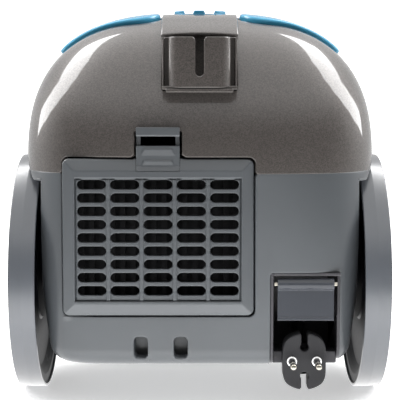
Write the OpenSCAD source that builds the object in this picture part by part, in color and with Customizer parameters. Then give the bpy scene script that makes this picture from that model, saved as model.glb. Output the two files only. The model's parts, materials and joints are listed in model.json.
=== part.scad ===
// Canister vacuum cleaner, rear face towards -Y, hose inlet towards +Y, standing on z = 0.
// The body is a rounded egg: level outlines stacked by height, cut into lower shell, hood and lid.

/* [Body] */
// Half of the body's width at the seam between lower shell and hood
body_half = 141; // [136:1:144]
// Height of the seam between lower shell and hood
seam_z = 185; // [180:1:190]
// Highest point of the hood
crest_z = 308; // [300:1:316]
// Height of the underside above the floor
under_z = 36; // [34:1:40]
// How far the body reaches behind its origin
rear_reach = 205; // [202:1:208]
// How far the nose reaches in front of the origin
front_reach = 205; // [195:1:215]
// Where the crest lies, measured from the origin towards the rear
crest_back = 70; // [60:1:80]
// Thickness of the moulded walls
wall = 3; // [2.5:0.1:3.5]

/* [Wheels] */
// Radius of the large rear wheels
wheel_r = 97; // [94:1:99]
// Distance of the wheel axle behind the origin
axle_back = 105; // [100:1:110]
// Inner face of each wheel's tread, from the middle of the body
tread_in = 126.5; // [126:0.1:128]
// Outer face of each wheel's tread
tread_out = 147; // [144:0.5:148]
// Radius of each wheel's axle pin
axle_r = 6; // [5:0.5:7]
// Radius of the front caster wheel
caster_r = 15; // [13:1:17]
// Distance of the caster's king pin in front of the origin
caster_y = 140; // [130:1:150]

/* [Exhaust grille] */
// Width of the grille cover
grille_w = 146; // [142:1:150]
// Height of the grille cover
grille_h = 120.6; // [116:0.1:124]
// Height of the grille cover's middle
grille_z = 136.5; // [134:0.5:139]
// Distance of the grille's middle to the left of the body's middle
grille_left = 31.8; // [28:0.1:34]
// Columns of slots
slot_columns = 5; // [3:1:6]
// Rows of slots
slot_rows = 9; // [5:1:9]

/* [Plug bay] */
// Distance of the bay's middle to the right of the body's middle
bay_x = 80.8; // [78:0.1:83]
// Width of the bay
bay_w = 54; // [50:1:56]
// Top of the bay
bay_top = 109; // [104:1:112]
// Height of the plug's middle when it is drawn in
plug_z = 41; // [40:0.5:44]
// Radius of the mains cord
cord_r = 3.2; // [3:0.1:3.5]

/* [Hose inlet] */
// Inner radius of the socket that takes the hose end
inlet_r = 18; // [16:0.5:20]
// Outward tilt of the socket above level
inlet_tilt = 45; // [40:1:50]

/* [Hidden] */

crest_y = -crest_back;
axle_y = -axle_back;
well_x = tread_in - 3;
well_r = wheel_r + 6;
well_top = 178;           // underside of the shoulder behind each wheel
side_n = 2.75;            // roundness of the hood from side to side
back_n = 2.4;             // roundness of the hood's rear profile
front_n = 2.1;            // roundness of the lid's front profile
nose_n = 2.7;             // roundness of the nose seen from above
side_taper = 23;          // how much narrower each side is at the bottom
tail_taper = 5;           // how far the rear leans in towards the bottom
nose_taper = 34;          // how far the nose leans in towards the bottom
edge_r = 12;              // rounding along the bottom edge
ring_n = 48;              // points in each level outline
hood_edge = -0.6;         // front edge of the hood
lid_edge = 1.8;           // rear edge of the lid
hinge = [24, 294];        // lid hinge axis in y and z
hinge_x = 30;             // the hinge ears, either side of the middle
handle = [56, 301];       // carry handle pivot in y and z
grip = [112, 288];        // middle of the handle's grip in y and z
grille_x = -grille_left;
grille_face = -206;
grille_pin = [-200.2, 80.6];  // grille hinge axis in y and z
hinge_out = 50;           // the grille's two hinges, either side of its middle
vents = [-45.4, -14.8];   // middles of the two vents under the grille
slot_w = 21.7;
slot_h = 6.5;
slot_pitch_x = 25.25;
slot_pitch_z = 10.14;
motor = [-32, 128];       // motor axis in x and z
reel = [-70, 140];        // reel axis in y and z
reel_x = 64;              // inner flange of the reel
knob_y = -76;
bracket_x = -0.3;
flap_pin = [-200.5, 100.5];
bay_back = -128;          // inner face of the bay's rear wall
bay_wall = 2.4;
outlet_z = 55;            // where the cord passes the bay's rear wall
cord_x = bay_x - 1;
relief_z = 45;            // axis of the cord's strain relief
plug_y = -204;            // front face of the plug
latch_x = -31.8;
tread_t = 2.4;            // thickness of the tread band on the wheel's rim
push_rod = [85, -100];    // the pedals' push rods, either side of the middle
brake_pin = [-59, 223];   // brake lever pivot in y and z
brake_x = 85;             // middle of the brake lever
catch_pin = [195, 206];   // lid catch pivot in y and z
inlet_root = [0, 125, 195];
caster_hub_y = caster_y - 9;

// The cord's route in y and z: from the reel to the bay's outlet, and on to the plug's strain relief
LEAD = [
    [-46.2, 88.7], [-60, 82.2], [-75, 75.2], [-90, 68.2], [-103, 62.2], [-111, 58.4], [-118, 56],
    [-123, outlet_z], [-128, outlet_z]
];
TAIL = [
    [-128, outlet_z], [-132, outlet_z], [-136, 54.7], [-140, 54.1], [-144, 53], [-148, 51.4], [-152, 49.5],
    [-156, 47.6], [-160, 46], [-164, 45.1], [-168, relief_z]
];

function superellipse(t, n) = pow(max(0, 1 - pow(min(1, abs(t)), n)), 1 / n);
function below(z) = max(0, seam_z - z) / (seam_z - under_z);
function tuck(z, g) =
    let (h = under_z - g + edge_r - z)
    h <= 0 ? 0 : edge_r - sqrt(max(0, edge_r * edge_r - h * h));
function rise(z, g) = max(0, z - seam_z) / (crest_z + g - seam_z);
function half_width(z, g) =
    (body_half + g) * superellipse(rise(z, g), side_n) - side_taper * below(z) - tuck(z, g);
function tail(z, g) =
    (rear_reach - crest_back + g) * superellipse(rise(z, g), back_n) - tail_taper * below(z) - tuck(z, g);
function nose(z, g) =
    (front_reach + crest_back + g) * superellipse(rise(z, g), front_n)
    - nose_taper * pow(below(z), 2) - tuck(z, g);
function corner_n(z) = 4.2 + 4.8 * below(z);

// One level outline at height z, grown outwards by g
function outline(z, g) = [
    for (i = [0 : ring_n - 1])
        let (a = 360 * i / ring_n, back = sin(a) < 0, n = back ? corner_n(z) : nose_n,
             reach = back ? tail(z, g) : nose(z, g))
        [half_width(z, g) * sign(cos(a)) * pow(abs(cos(a)), 2 / n),
         crest_y + reach * sign(sin(a)) * pow(abs(sin(a)), 2 / n)]
];

// A closed solid through level outlines; each entry of levels is [height, height of the shape there]
module stack(levels, g) {
    rows = len(levels);
    points = [for (l = levels) for (p = outline(l[1], g)) [p[0], p[1], l[0]]];
    sides = [
        for (j = [0 : rows - 2], i = [0 : ring_n - 1])
            let (k = (i + 1) % ring_n, a = j * ring_n, b = a + ring_n)
            each [[a + i, b + i, b + k], [a + i, b + k, a + k]]
    ];
    bottom = [[for (i = [0 : ring_n - 1]) i]];
    top = [[for (i = [ring_n - 1 : -1 : 0]) (rows - 1) * ring_n + i]];
    polyhedron(points = points, faces = concat(bottom, sides, top), convexity = 4);
}

// Everything below the seam, grown by g; over carries its top past the seam
module lower_solid(g, over = 0) {
    foot = under_z - g;
    low = [for (a = [0, 35, 65, 90]) foot + edge_r * (1 - cos(a))];
    mid = [75, 110, 148, seam_z];
    zs = concat(low, mid);
    extra = over > 0 ? [[seam_z + over, seam_z]] : [];
    stack(concat([for (z = zs) [z, z]], extra), g);
}

// Everything above the seam, grown by g; under carries its bottom past the seam
module upper_solid(g, under = 0) {
    zs = [for (a = [0, 12, 24, 36, 47, 57, 66, 74, 80.5, 86]) seam_z + (crest_z + g - seam_z) * sin(a)];
    extra = under > 0 ? [[seam_z - under, seam_z]] : [];
    stack(concat(extra, [for (z = zs) [z, z]]), g);
}

// Box given by its low and high corners
module span(low, high) {
    translate(low) cube(high - low);
}

// Rod along X, Y or Z from its start
module rod_x(r, x0, x1, y, z, fn = 48) {
    translate([x0, y, z]) rotate([0, 90, 0]) cylinder(r = r, h = x1 - x0, $fn = fn);
}
module rod_y(r, y0, y1, x, z, fn = 48) {
    translate([x, y0, z]) rotate([-90, 0, 0]) cylinder(r = r, h = y1 - y0, $fn = fn);
}
module rod_z(r, z0, z1, x, y, fn = 48) {
    translate([x, y, z0]) cylinder(r = r, h = z1 - z0, $fn = fn);
}

// Tube or bar along Y with a rounded rectangle as its section, centred on x and z
module rounded_bar_y(w, h, r, y0, y1, x, z) {
    translate([x, y1, z]) rotate([90, 0, 0]) linear_extrude(y1 - y0) rounded_rect(w, h, r);
}

// Rounded rectangle made of two bars and four corner discs
module rounded_rect(w, h, r) {
    square([w - 2 * r, h], center = true);
    square([w, h - 2 * r], center = true);
    for (x = [-1, 1], y = [-1, 1])
        translate([x * (w / 2 - r), y * (h / 2 - r)]) circle(r = r, $fn = 32);
}

// Round bar of radius r swept along points, with flat ends
module sweep(points, r, sides = 10) {
    last = len(points) - 1;
    function along(i) =
        let (d = points[min(last, i + 1)] - points[max(0, i - 1)]) d / norm(d);
    function across(d) =
        let (up = abs(d[2]) > 0.9 ? [1, 0, 0] : [0, 0, 1], c = cross(up, d)) c / norm(c);
    rings = [
        for (i = [0 : last], s = [0 : sides - 1])
            let (d = along(i), u = across(d), v = cross(d, u), a = 360 * s / sides)
            points[i] + r * (cos(a) * u + sin(a) * v)
    ];
    skin = [
        for (i = [0 : last - 1], s = [0 : sides - 1])
            let (t = (s + 1) % sides, a = i * sides, b = a + sides)
            each [[a + s, a + t, b + t], [a + s, b + t, b + s]]
    ];
    start = [[for (s = [sides - 1 : -1 : 0]) s]];
    end = [[for (s = [0 : sides - 1]) last * sides + s]];
    polyhedron(points = rings, faces = concat(start, skin, end), convexity = 6);
}

// The two wheel wells, grown by g: round over the wheel and carried straight on to the rear
module wheel_wells(g) {
    for (side = [-1, 1]) {
        mid = side * (well_x - g + 20);
        rod_x(well_r + g, mid - 20, mid + 20, axle_y, wheel_r, 96);
        translate([mid, axle_y - 60, well_top / 2 + 30 + g / 2])
            cube([40, 120, well_top - 60 + g], center = true);
    }
}

// The opening that the grille cover and its latch sit in
module grille_opening() {
    rounded_bar_y(grille_w + 1.8, grille_h + 1.8, 4, -230, -180, grille_x, grille_z);
    span([latch_x - 18.2, -230, 170], [latch_x + 18.2, -180, 217.6]);
}

module lower_shell() {
    color("dimgray")
    difference() {
        union() {
            difference() {
                lower_solid(0);
                wheel_wells(0);
                difference() {
                    lower_solid(-wall, 1);
                    wheel_wells(wall);
                }
                grille_opening();
                span([bay_x - bay_w / 2, -230, 0], [bay_x + bay_w / 2, bay_back + bay_wall, bay_top]);
                for (x = vents)
                    rounded_bar_y(10.6, 17.6, 3, -230, -180, x, 50.8);
                span([-24, 190, 170], [24, 230, 190]);
            }
            // reel wall, motor cradle, axle bosses, caster boss and the ears that carry the grille
            span([53.5, -98, under_z + wall - 1], [reel_x - 6, -42, reel[1] + 14]);
            difference() {
                span([motor[0] - 30, -140, under_z + wall - 1], [motor[0] + 30, -134, 68]);
                rod_y(70, -150, -130, motor[0], motor[1], 72);
            }
            for (side = [-1, 1])
                rod_x(13, side * well_x - 3, side * well_x + 3, axle_y, wheel_r);
            rod_z(10, under_z, 58, 0, caster_y);
            for (x = [-96, 96], y = [-30, 60])
                rod_z(6, under_z, under_z + 20, x, y, 32);
            for (side = [-1, 1])
                grille_ear(grille_x + side * hinge_out);
        }
        for (side = [-1, 1])
            rod_x(axle_r, side * well_x - 8, side * well_x + 8, axle_y, wheel_r);
        rod_z(5.05, under_z - 5, 55, 0, caster_y);
        for (x = [-96, 96], y = [-30, 60]) {
            rod_z(4.2, under_z - 5, under_z + 2, x, y, 24);
            rod_z(2, under_z, under_z + 30, x, y, 24);
        }
        rod_x(1.56, grille_x - 60, grille_x + 60, grille_pin[0], grille_pin[1]);
    }
}

// Ear that reaches over the lower edge of the grille opening from inside the shell
module grille_ear(x) {
    path = [[0, 0, 2.6], [4.6, -3, 2], [3, -9, 2]];
    for (i = [0, 1])
        hull()
            for (p = [path[i], path[i + 1]])
                rod_x(p[2], x - 2, x + 2, grille_pin[0] + p[0], grille_pin[1] + p[1], 32);
}

module hood() {
    color("#5d5650")
    difference() {
        upper_solid(0);
        wheel_wells(0);
        difference() {
            upper_solid(-wall, 1);
            wheel_wells(wall);
        }
        span([-200, hood_edge, 150], [200, 260, 330]);
        grille_opening();
        for (side = [-1, 1])
            pedal_plan(side, 0.6, 230, 330);
        rod_z(6.3, 290, 330, 0, knob_y);
        span([bracket_x - 28.8, -230, 248], [bracket_x + 28.8, -150, 289]);
    }
}

// Vertical prism on a foot pedal's plan, grown by g
module pedal_plan(side, g, z0, z1) {
    hull() {
        rod_z(21 + g, z0, z1, side * 54, -102, 32);
        rod_z(9 + g, z0, z1, side * 106, -98, 32);
    }
}

// Foot pedal: a patch of the hood's own surface standing proud, on a push rod
module pedal(side, rod_foot) {
    intersection() {
        difference() {
            upper_solid(4.5);
            upper_solid(-6, 1);
        }
        pedal_plan(side, 0, 230, 330);
    }
    rod_z(4, rod_foot, 291, side * push_rod[0], push_rod[1]);
}

module power_pedal() {
    color("deepskyblue") pedal(-1, 267);
}

module rewind_pedal() {
    color("deepskyblue") pedal(1, 236.5);
}

// Compression spring standing round a push rod
module pedal_spring(side, foot) {
    turns = 5;
    steps = 60;
    head = 283.2;
    sweep([for (i = [0 : steps])
        let (a = 360 * turns * i / steps)
        [side * push_rod[0] + 6.5 * cos(a), push_rod[1] + 6.5 * sin(a), foot + (head - foot) * i / steps]
    ], 0.7, 6);
}

module power_pedal_spring() {
    color("silver") pedal_spring(-1, 263.2);
}

module rewind_pedal_spring() {
    color("silver") pedal_spring(1, 254);
}

// Socket for the floor tool's parking hook, let into the top of the hood
module parking_bracket() {
    color("#5d5650")
    translate([bracket_x, 0, 0])
    difference() {
        union() {
            span([-28.5, -199, 248.3], [28.5, -158, 251.3]);
            span([-28.5, -161, 248.3], [28.5, -158, 288.7]);
            span([-28.5, -161, 284.7], [28.5, -154.2, 290.5]);
            for (side = [-1, 1])
                translate([side * 24.5, -179, 270]) cube([8, 36, 37.4], center = true);
            translate([0, 0, 250.3]) linear_extrude(38.7) bracket_plate();
            bracket_band();
        }
        hull() {
            rod_y(3.2, -214, -196, 0, 262, 32);
            rod_y(3.2, -214, -196, 0, 296, 32);
        }
    }
}

// Plan of the bracket's front plate: a shallow channel with rounded outer corners
module bracket_plate() {
    difference() {
        translate([0, -198]) rounded_rect(47, 20, 9);
        translate([0, -195]) rounded_rect(41, 20, 6);
        translate([-30, -197]) square([60, 20]);
    }
}

// Raised band that runs from the bracket up to the knob
module bracket_band() {
    intersection() {
        difference() {
            upper_solid(3);
            upper_solid(0.15, 1);
        }
        span([-30.8, -197, 289], [30.8, -101, 330]);
    }
}

module partition() {
    color("slategray")
    difference() {
        union() {
            intersection() {
                union() {
                    lower_solid(-wall - 0.3, 1);
                    upper_solid(-wall - 0.3, 1);
                }
                span([-200, -6, 0], [200, -3, 330]);
            }
            for (side = [-1, 1])
                difference() {
                    union() {
                        span([side * hinge_x - 3, -3.5, 252], [side * hinge_x + 3, 28, 262]);
                        span([side * hinge_x - 3, 20, 252], [side * hinge_x + 3, 28, hinge[1]]);
                        rod_x(4, side * hinge_x - 3, side * hinge_x + 3, hinge[0], hinge[1]);
                    }
                    rod_x(2.06, side * hinge_x - 5, side * hinge_x + 5, hinge[0], hinge[1]);
                }
        }
        rod_y(38, -10, 2, motor[0], motor[1], 64);
        wheel_wells(wall + 0.3);
    }
}

module control_deck() {
    color("slategray") {
        difference() {
            union() {
                span([-112, -128, 250], [112, -6, 253]);
                for (x = [74, 93])
                    span([x, brake_pin[0] - 7, brake_pin[1] - 5], [x + 3, brake_pin[0] + 7, 250]);
            }
            for (side = [-1, 1])
                rod_z(5, 240, 260, side * push_rod[0], push_rod[1]);
            rod_x(2, 70, 100, brake_pin[0], brake_pin[1]);
            span([-20, -110, 240], [20, -50, 260]);
        }
    }
}

module motor_cover() {
    color("slategray")
    difference() {
        rod_y(70, -150, -6.1, motor[0], motor[1], 72);
        rod_y(67, -147, 0, motor[0], motor[1], 72);
        for (a = [0 : 45 : 315])
            rod_y(9, -155, -140, motor[0] + 50 * cos(a), motor[1] + 50 * sin(a), 32);
        rod_y(12, -155, -140, motor[0], motor[1]);
    }
}

// Rubber rings that hold the motor: one behind its bearing seat, one against the partition
module motor_mounts() {
    color("black") {
        difference() {
            rod_y(64, -18, -6.2, motor[0], motor[1], 64);
            rod_y(40, -20, 0, motor[0], motor[1], 64);
            rod_y(60.2, -30, -12, motor[0], motor[1], 64);
        }
        difference() {
            rod_y(18, -147, -138, motor[0], motor[1]);
            rod_y(11.5, -150, -130, motor[0], motor[1]);
        }
    }
}

module fan_shroud() {
    color("silver")
    difference() {
        rod_y(60, -72, -12, motor[0], motor[1], 64);
        rod_y(58, -70, -14, motor[0], motor[1], 64);
        rod_y(22, -20, -5, motor[0], motor[1]);
        rod_y(11, -80, -60, motor[0], motor[1]);
        for (a = [0 : 30 : 330])
            rod_y(5, -80, -68, motor[0] + 50 * cos(a), motor[1] + 50 * sin(a), 24);
    }
}

module stator() {
    color("goldenrod")
    difference() {
        union() {
            rod_y(44, -122, -84, motor[0], motor[1], 64);
            for (side = [-1, 1])
                translate([motor[0] + side * 36, -103, motor[1]]) cube([8, 62, 24], center = true);
            span([motor[0] - 40, -138, motor[1] - 12], [motor[0] + 40, -134, motor[1] + 12]);
        }
        rod_y(25, -134, -60, motor[0], motor[1], 48);
        rod_y(11, -145, -130, motor[0], motor[1]);
    }
}

module brush_holders() {
    color("sienna")
    for (side = [-1, 1])
        translate([motor[0] + side * 21.5, -128, motor[1]]) cube([21, 8, 10], center = true);
}

module motor_bearings() {
    color("silver")
    for (y = [-138, -72])
        difference() {
            rod_y(11, y, y + (y < -100 ? 6 : 7), motor[0], motor[1]);
            rod_y(4.05, y - 1, y + 8, motor[0], motor[1]);
        }
}

module armature() {
    color("peru") {
        rod_y(4, -141, -22, motor[0], motor[1]);
        rod_y(24.4, -120, -86, motor[0], motor[1], 64);
        rod_y(10.5, -131.5, -120, motor[0], motor[1]);
    }
}

module impeller() {
    color("lightgray")
    difference() {
        union() {
            rod_y(54, -62, -60, motor[0], motor[1], 64);
            difference() {
                rod_y(54, -40, -38, motor[0], motor[1], 64);
                rod_y(21, -45, -30, motor[0], motor[1]);
            }
            rod_y(9, -62, -36, motor[0], motor[1]);
            for (a = [0 : 40 : 320])
                translate([motor[0], 0, motor[1]]) rotate([0, a, 0]) impeller_vane();
        }
        rod_y(4, -70, -30, motor[0], motor[1]);
    }
}

module impeller_vane() {
    translate([30, -60, -14]) rotate([0, -25, 0]) cube([22, 20, 1.2]);
}

module pre_motor_filter() {
    color("white")
    difference() {
        rounded_bar_y(90, 90, 8, -2.8, 7, motor[0], motor[1]);
        for (x = [-36 : 12 : 36])
            span([motor[0] + x - 2, 4, motor[1] - 40], [motor[0] + x + 2, 10, motor[1] + 40]);
    }
}

module exhaust_filter() {
    color("white")
    difference() {
        span([grille_x - 64, -186, grille_z - 51], [grille_x + 64, -164, grille_z + 45]);
        for (x = [-58 : 8 : 54])
            span([grille_x + x, -190, grille_z - 48], [grille_x + x + 4, -182, grille_z + 42]);
    }
}

// Open frame that holds the exhaust filter, on two legs
module filter_frame() {
    color("dimgray") {
        for (x = [grille_x - 60, grille_x + 50])
            span([x, -178, under_z + wall], [x + 10, -166, grille_z - 54]);
        difference() {
            span([grille_x - 67, -190, grille_z - 54], [grille_x + 67, -162, grille_z + 48]);
            span([grille_x - 64, -195, grille_z - 51], [grille_x + 64, -150, grille_z + 45]);
        }
    }
}

// Hinged cover over the exhaust filter: a shallow tray with slots and a cut-out for its latch
module grille_cover() {
    color("gray")
    difference() {
        union() {
            difference() {
                rounded_bar_y(grille_w, grille_h, 5.5, grille_face, -197, grille_x, grille_z);
                rounded_bar_y(grille_w - 6, grille_h - 6, 3, grille_face + 3, -190, grille_x, grille_z);
                rounded_bar_y(126.6, 94.2, 1.5, -230, grille_face + 1.2, grille_x, grille_z - 1.6);
                for (i = [0 : slot_columns - 1], j = [0 : slot_rows - 1])
                    translate([grille_x + (i - (slot_columns - 1) / 2) * slot_pitch_x, grille_face + 6,
                               grille_z + (j - (slot_rows - 1) / 2) * slot_pitch_z])
                        rotate([90, 0, 0]) linear_extrude(12) grille_slot();
            }
            // ribs between the columns
            for (i = [0 : slot_columns - 2])
                span([grille_x + (i - 1.5) * slot_pitch_x - 1.4, grille_face + 0.3, grille_z - 48.7],
                     [grille_x + (i - 1.5) * slot_pitch_x + 1.4, grille_face + 1.5, grille_z + 45.5]);
            for (side = [-1, 1], edge = [-4, 4])
                translate([grille_x + side * hinge_out + edge, -200.3, 81])
                    cube([2, 5.6, 7], center = true);
        }
        span([latch_x - 16.9, -230, 186.2], [latch_x + 16.9, -190, 210]);
        for (side = [-1, 1])
            translate([grille_x + side * hinge_out, -196.5, 77]) cube([6, 13, 15], center = true);
        // bevel that lets the lower edge roll past the shell
        translate([grille_x - 90, 0, 0]) rotate([90, 0, 90]) linear_extrude(180)
            polygon([[grille_face - 1, 75], [grille_face + 4.6, 75], [grille_face - 1, 80.6]]);
    }
    color("gray")
    for (side = [-1, 1])
        translate([grille_x + side * hinge_out, 0, 0])
            rod_x(1.5, -3.4, 3.4, grille_pin[0], grille_pin[1]);
}

module grille_slot() {
    square([slot_w - slot_h, slot_h], center = true);
    for (side = [-1, 1])
        translate([side * (slot_w - slot_h) / 2, 0]) circle(d = slot_h, $fn = 24);
}

// Springy tab that holds the grille shut: a finger bar on two posts over a stepped plate
module grille_latch() {
    color("gray") {
        span([latch_x - 16.5, grille_face, 186.6], [latch_x + 16.5, grille_face + 3, 206.4]);
        for (side = [-1, 1])
            translate([latch_x + side * 14.25, grille_face + 4.2, 210.8])
                cube([4.5, 2.4, 12.8], center = true);
        span([latch_x - 16.5, grille_face - 1.6, 214.6], [latch_x + 16.5, grille_face + 2.8, 220.6]);
        span([latch_x - 16.5, grille_face + 1.6, 213.6], [latch_x + 16.5, grille_face + 7, 216.8]);
        span([latch_x - 16.5, grille_face + 1.6, 204.4], [latch_x + 16.5, grille_face + 5.4, 206.4]);
        for (z = [194.4, 203])
            rod_x(0.8, latch_x - 11, latch_x + 11, grille_face, z, 24);
    }
}

// Wheel turned about X: hub, web and rim; side is the side of the body it runs on
module wheel(side) {
    translate([side * 127.5, axle_y, wheel_r]) rotate([0, side * 90, 0])
        rotate_extrude($fn = 96) polygon([
            [axle_r + 0.05, 0], [14, 0], [14, 4], [84, 4], [87, 0.5], [wheel_r - tread_t, 0.5],
            [wheel_r - tread_t, 16.5], [wheel_r - 9, 16.5], [wheel_r - 9, 7], [14, 7], [14, 14],
            [axle_r + 0.05, 14]
        ]);
}

// Thin tread band with rounded shoulders
module tyre(side) {
    w = tread_out - tread_in;
    edge = tread_t / 2;
    translate([side * tread_in, axle_y, wheel_r]) rotate([0, side * 90, 0])
        rotate_extrude($fn = 96) translate([wheel_r - tread_t, 0]) {
            difference() {
                square([tread_t, w]);
                for (y = [0, w])
                    translate([tread_t, y]) square(2 * edge, center = true);
            }
            for (y = [edge, w - edge])
                translate([tread_t - edge, y]) circle(r = edge, $fn = 32);
        }
}

// Dished trim on the outer face of a wheel
module hub_cap(side) {
    translate([side * 127.5, axle_y, wheel_r]) rotate([0, side * 90, 0])
        rotate_extrude($fn = 96) polygon([
            [0, 16.2], [18, 15.9], [60, 14], [wheel_r - 9, 12], [wheel_r - 9, 15.6], [60, 17],
            [18, 18.2], [0, 18.4]
        ]);
}

module left_wheel() {
    color("#1c1c1e") wheel(-1);
}

module right_wheel() {
    color("#1c1c1e") wheel(1);
}

module left_tyre() {
    color("gray") tyre(-1);
}

module right_tyre() {
    color("gray") tyre(1);
}

module left_hub_cap() {
    color("dimgray") hub_cap(-1);
}

module right_hub_cap() {
    color("dimgray") hub_cap(1);
}

// Headed axle pins through the shell, each with its retaining clip
module wheel_axles() {
    color("silver")
    for (side = [-1, 1])
        translate([side * (well_x - 5.4), axle_y, wheel_r]) rotate([0, side * 90, 0])
            rotate_extrude($fn = 48) polygon([
                [0, 0], [9, 0], [9, 2.4], [axle_r, 2.4], [axle_r, 23.9], [9, 23.9], [9, 24.9], [0, 24.9]
            ]);
}

module caster_fork() {
    color("#1c1c1e")
    difference() {
        union() {
            rod_z(5, 33, 54, 0, caster_y);
            rod_z(17, 31.2, 34.5, 0, caster_y);
            for (side = [-1, 1])
                hull() {
                    rod_x(5, side * 11.5 - 1.5, side * 11.5 + 1.5, caster_hub_y, caster_r, 32);
                    translate([side * 11.5, caster_y - 2, 31.6]) cube([3, 20, 0.8], center = true);
                }
        }
        rod_x(2, -20, 20, caster_hub_y, caster_r);
    }
}

module caster_axle() {
    color("silver") rod_x(2, -13, 13, caster_hub_y, caster_r);
}

module caster_wheel() {
    color("#2a2a2c")
    translate([0, caster_hub_y, caster_r]) rotate([0, 90, 0])
        rotate_extrude($fn = 64) polygon([
            [2.05, -9.5], [6, -9.5], [6, -7], [11, -7], [11, -9], [13.5, -9], [caster_r, -7], [caster_r, 7],
            [13.5, 9], [11, 9], [11, 7], [6, 7], [6, 9.5], [2.05, 9.5]
        ]);
}

// Cord reel: two flanges on a hub, turning on the reel post
module reel_drum() {
    color("gainsboro")
    difference() {
        union() {
            rod_x(58, reel_x, reel_x + 2.4, reel[0], reel[1], 96);
            rod_x(27, reel_x, reel_x + 41, reel[0], reel[1], 64);
            rod_x(58, reel_x + 38.6, reel_x + 41, reel[0], reel[1], 96);
        }
        rod_x(24, reel_x + 3, reel_x + 50, reel[0], reel[1], 64);
        rod_x(4.05, reel_x - 5, reel_x + 50, reel[0], reel[1]);
    }
}

module reel_spring_case() {
    color("silver")
    difference() {
        rod_x(23.8, reel_x + 6, reel_x + 44, reel[0], reel[1], 64);
        rod_x(4.05, reel_x, reel_x + 50, reel[0], reel[1]);
    }
}

// The wound part of the mains cord
module cord_pack() {
    color("#222224")
    difference() {
        rod_x(53, reel_x + 2.6, reel_x + 38.4, reel[0], reel[1], 96);
        rod_x(27.2, reel_x, reel_x + 45, reel[0], reel[1], 64);
    }
}

// Fixed post that the reel turns on, between its wall and the shell, and the pin of the brake lever
module reel_pins() {
    color("silver") {
        rod_x(4, reel_x - 6, well_x - 3.1, reel[0], reel[1]);
        rod_x(12, reel_x - 6, reel_x - 2, reel[0], reel[1]);
        rod_x(12, well_x - 10, well_x - 6, reel[0], reel[1]);
        rod_x(2, 74, 96, brake_pin[0], brake_pin[1]);
    }
}

// Rocking lever that lifts the brake shoe off the reel's rim
module brake_lever() {
    color("orangered")
    difference() {
        union() {
            rod_x(5, brake_x - 4, brake_x + 4, brake_pin[0], brake_pin[1]);
            hull() {
                rod_x(3, brake_x - 4, brake_x + 4, -62, 224, 32);
                rod_x(3, brake_x - 4, brake_x + 4, -102, 232.9, 32);
            }
            hull() {
                rod_x(3, brake_x - 4, brake_x + 4, -56, 220, 32);
                rod_x(3, brake_x - 4, brake_x + 4, -40, 197.5, 32);
            }
            translate([94, -39.5, 192.7]) rotate([-30, 0, 0]) cube([26, 14, 5], center = true);
        }
        rod_x(2.06, 70, 100, brake_pin[0], brake_pin[1]);
    }
}

// Lined recess in the rear face that holds the plug, with a step on either side of it
module plug_bay() {
    inner = bay_w / 2 - bay_wall;
    color("#242426") {
        difference() {
            intersection() {
                span([bay_x - bay_w / 2, -210, under_z], [bay_x + bay_w / 2, bay_back + bay_wall, bay_top]);
                lower_solid(-0.3);
            }
            span([bay_x - inner, -230, under_z + 2.6], [bay_x + inner, bay_back, bay_top - bay_wall]);
            span([bay_x - inner, -230, 0], [bay_x + inner, -178, 60]);
            rod_y(cord_r + 0.8, -140, -100, cord_x, outlet_z, 32);
            rod_x(1.6, bay_x - 40, bay_x + 40, flap_pin[0], flap_pin[1], 32);
        }
        for (side = [-1, 1])
            translate([bay_x + side * (inner - 6), -182, under_z + 5.3])
                cube([12.4, 14, 9.4], center = true);
    }
}

// Flap that hangs over the bay's mouth from two pivots
module bay_flap() {
    color("gray") {
        rod_x(4.3, bay_x - 22, bay_x + 22, flap_pin[0], flap_pin[1]);
        rod_x(1.54, bay_x - 26.6, bay_x + 26.6, flap_pin[0], flap_pin[1], 32);
        span([bay_x - 21.5, flap_pin[0] - 0.6, 72], [bay_x + 21.5, flap_pin[0] + 2, flap_pin[1]]);
    }
}

module cord_lead() {
    color("#222224") sweep([for (p = LEAD) [cord_x, p[0], p[1]]], cord_r, 8);
}

module cord_tail() {
    color("#222224") sweep([for (p = TAIL) [cord_x, p[0], p[1]]], cord_r, 8);
}

// Tapered sleeve between the cord and the plug
module strain_relief() {
    color("#222224")
    translate([cord_x, -168, relief_z]) rotate([90, 0, 0]) cylinder(r1 = 4.2, r2 = 8.5, h = 22, $fn = 32);
}

// Contour plug: round body with flat sides and a keyhole slot above and below
module plug_body() {
    color("#222224")
    translate([cord_x, 0, plug_z])
    difference() {
        intersection() {
            rod_y(21.8, plug_y, -190, 0, 0, 64);
            span([-16.5, -220, -30], [16.5, -170, 30]);
        }
        for (side = [-1, 1]) {
            rod_y(3.2, -230, -170, 0, side * 11.2, 32);
            span([-2.3, -230, side > 0 ? 11.2 : -30], [2.3, -170, side > 0 ? 30 : -11.2]);
        }
        for (x = [-9.5, 9.5]) {
            rod_y(2.4, -230, -194, x, 0.2, 32);
            rod_y(3.9, -230, plug_y + 2, x, 0.2, 32);
        }
    }
}

// White collars round the roots of the pins
module pin_collars() {
    color("white")
    for (x = [-9.5, 9.5])
        difference() {
            rod_y(3.9, plug_y - 0.4, plug_y + 2, cord_x + x, plug_z + 0.2, 32);
            rod_y(2.4, -230, -170, cord_x + x, plug_z + 0.2, 32);
        }
}

module plug_pins() {
    color("silver")
    for (x = [-9.5, 9.5])
        translate([cord_x + x, -194, plug_z + 0.2]) rotate([90, 0, 0])
            rotate_extrude($fn = 32) polygon([[0, 0], [2.4, 0], [2.4, 28], [1.6, 29], [0, 29]]);
}

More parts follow.
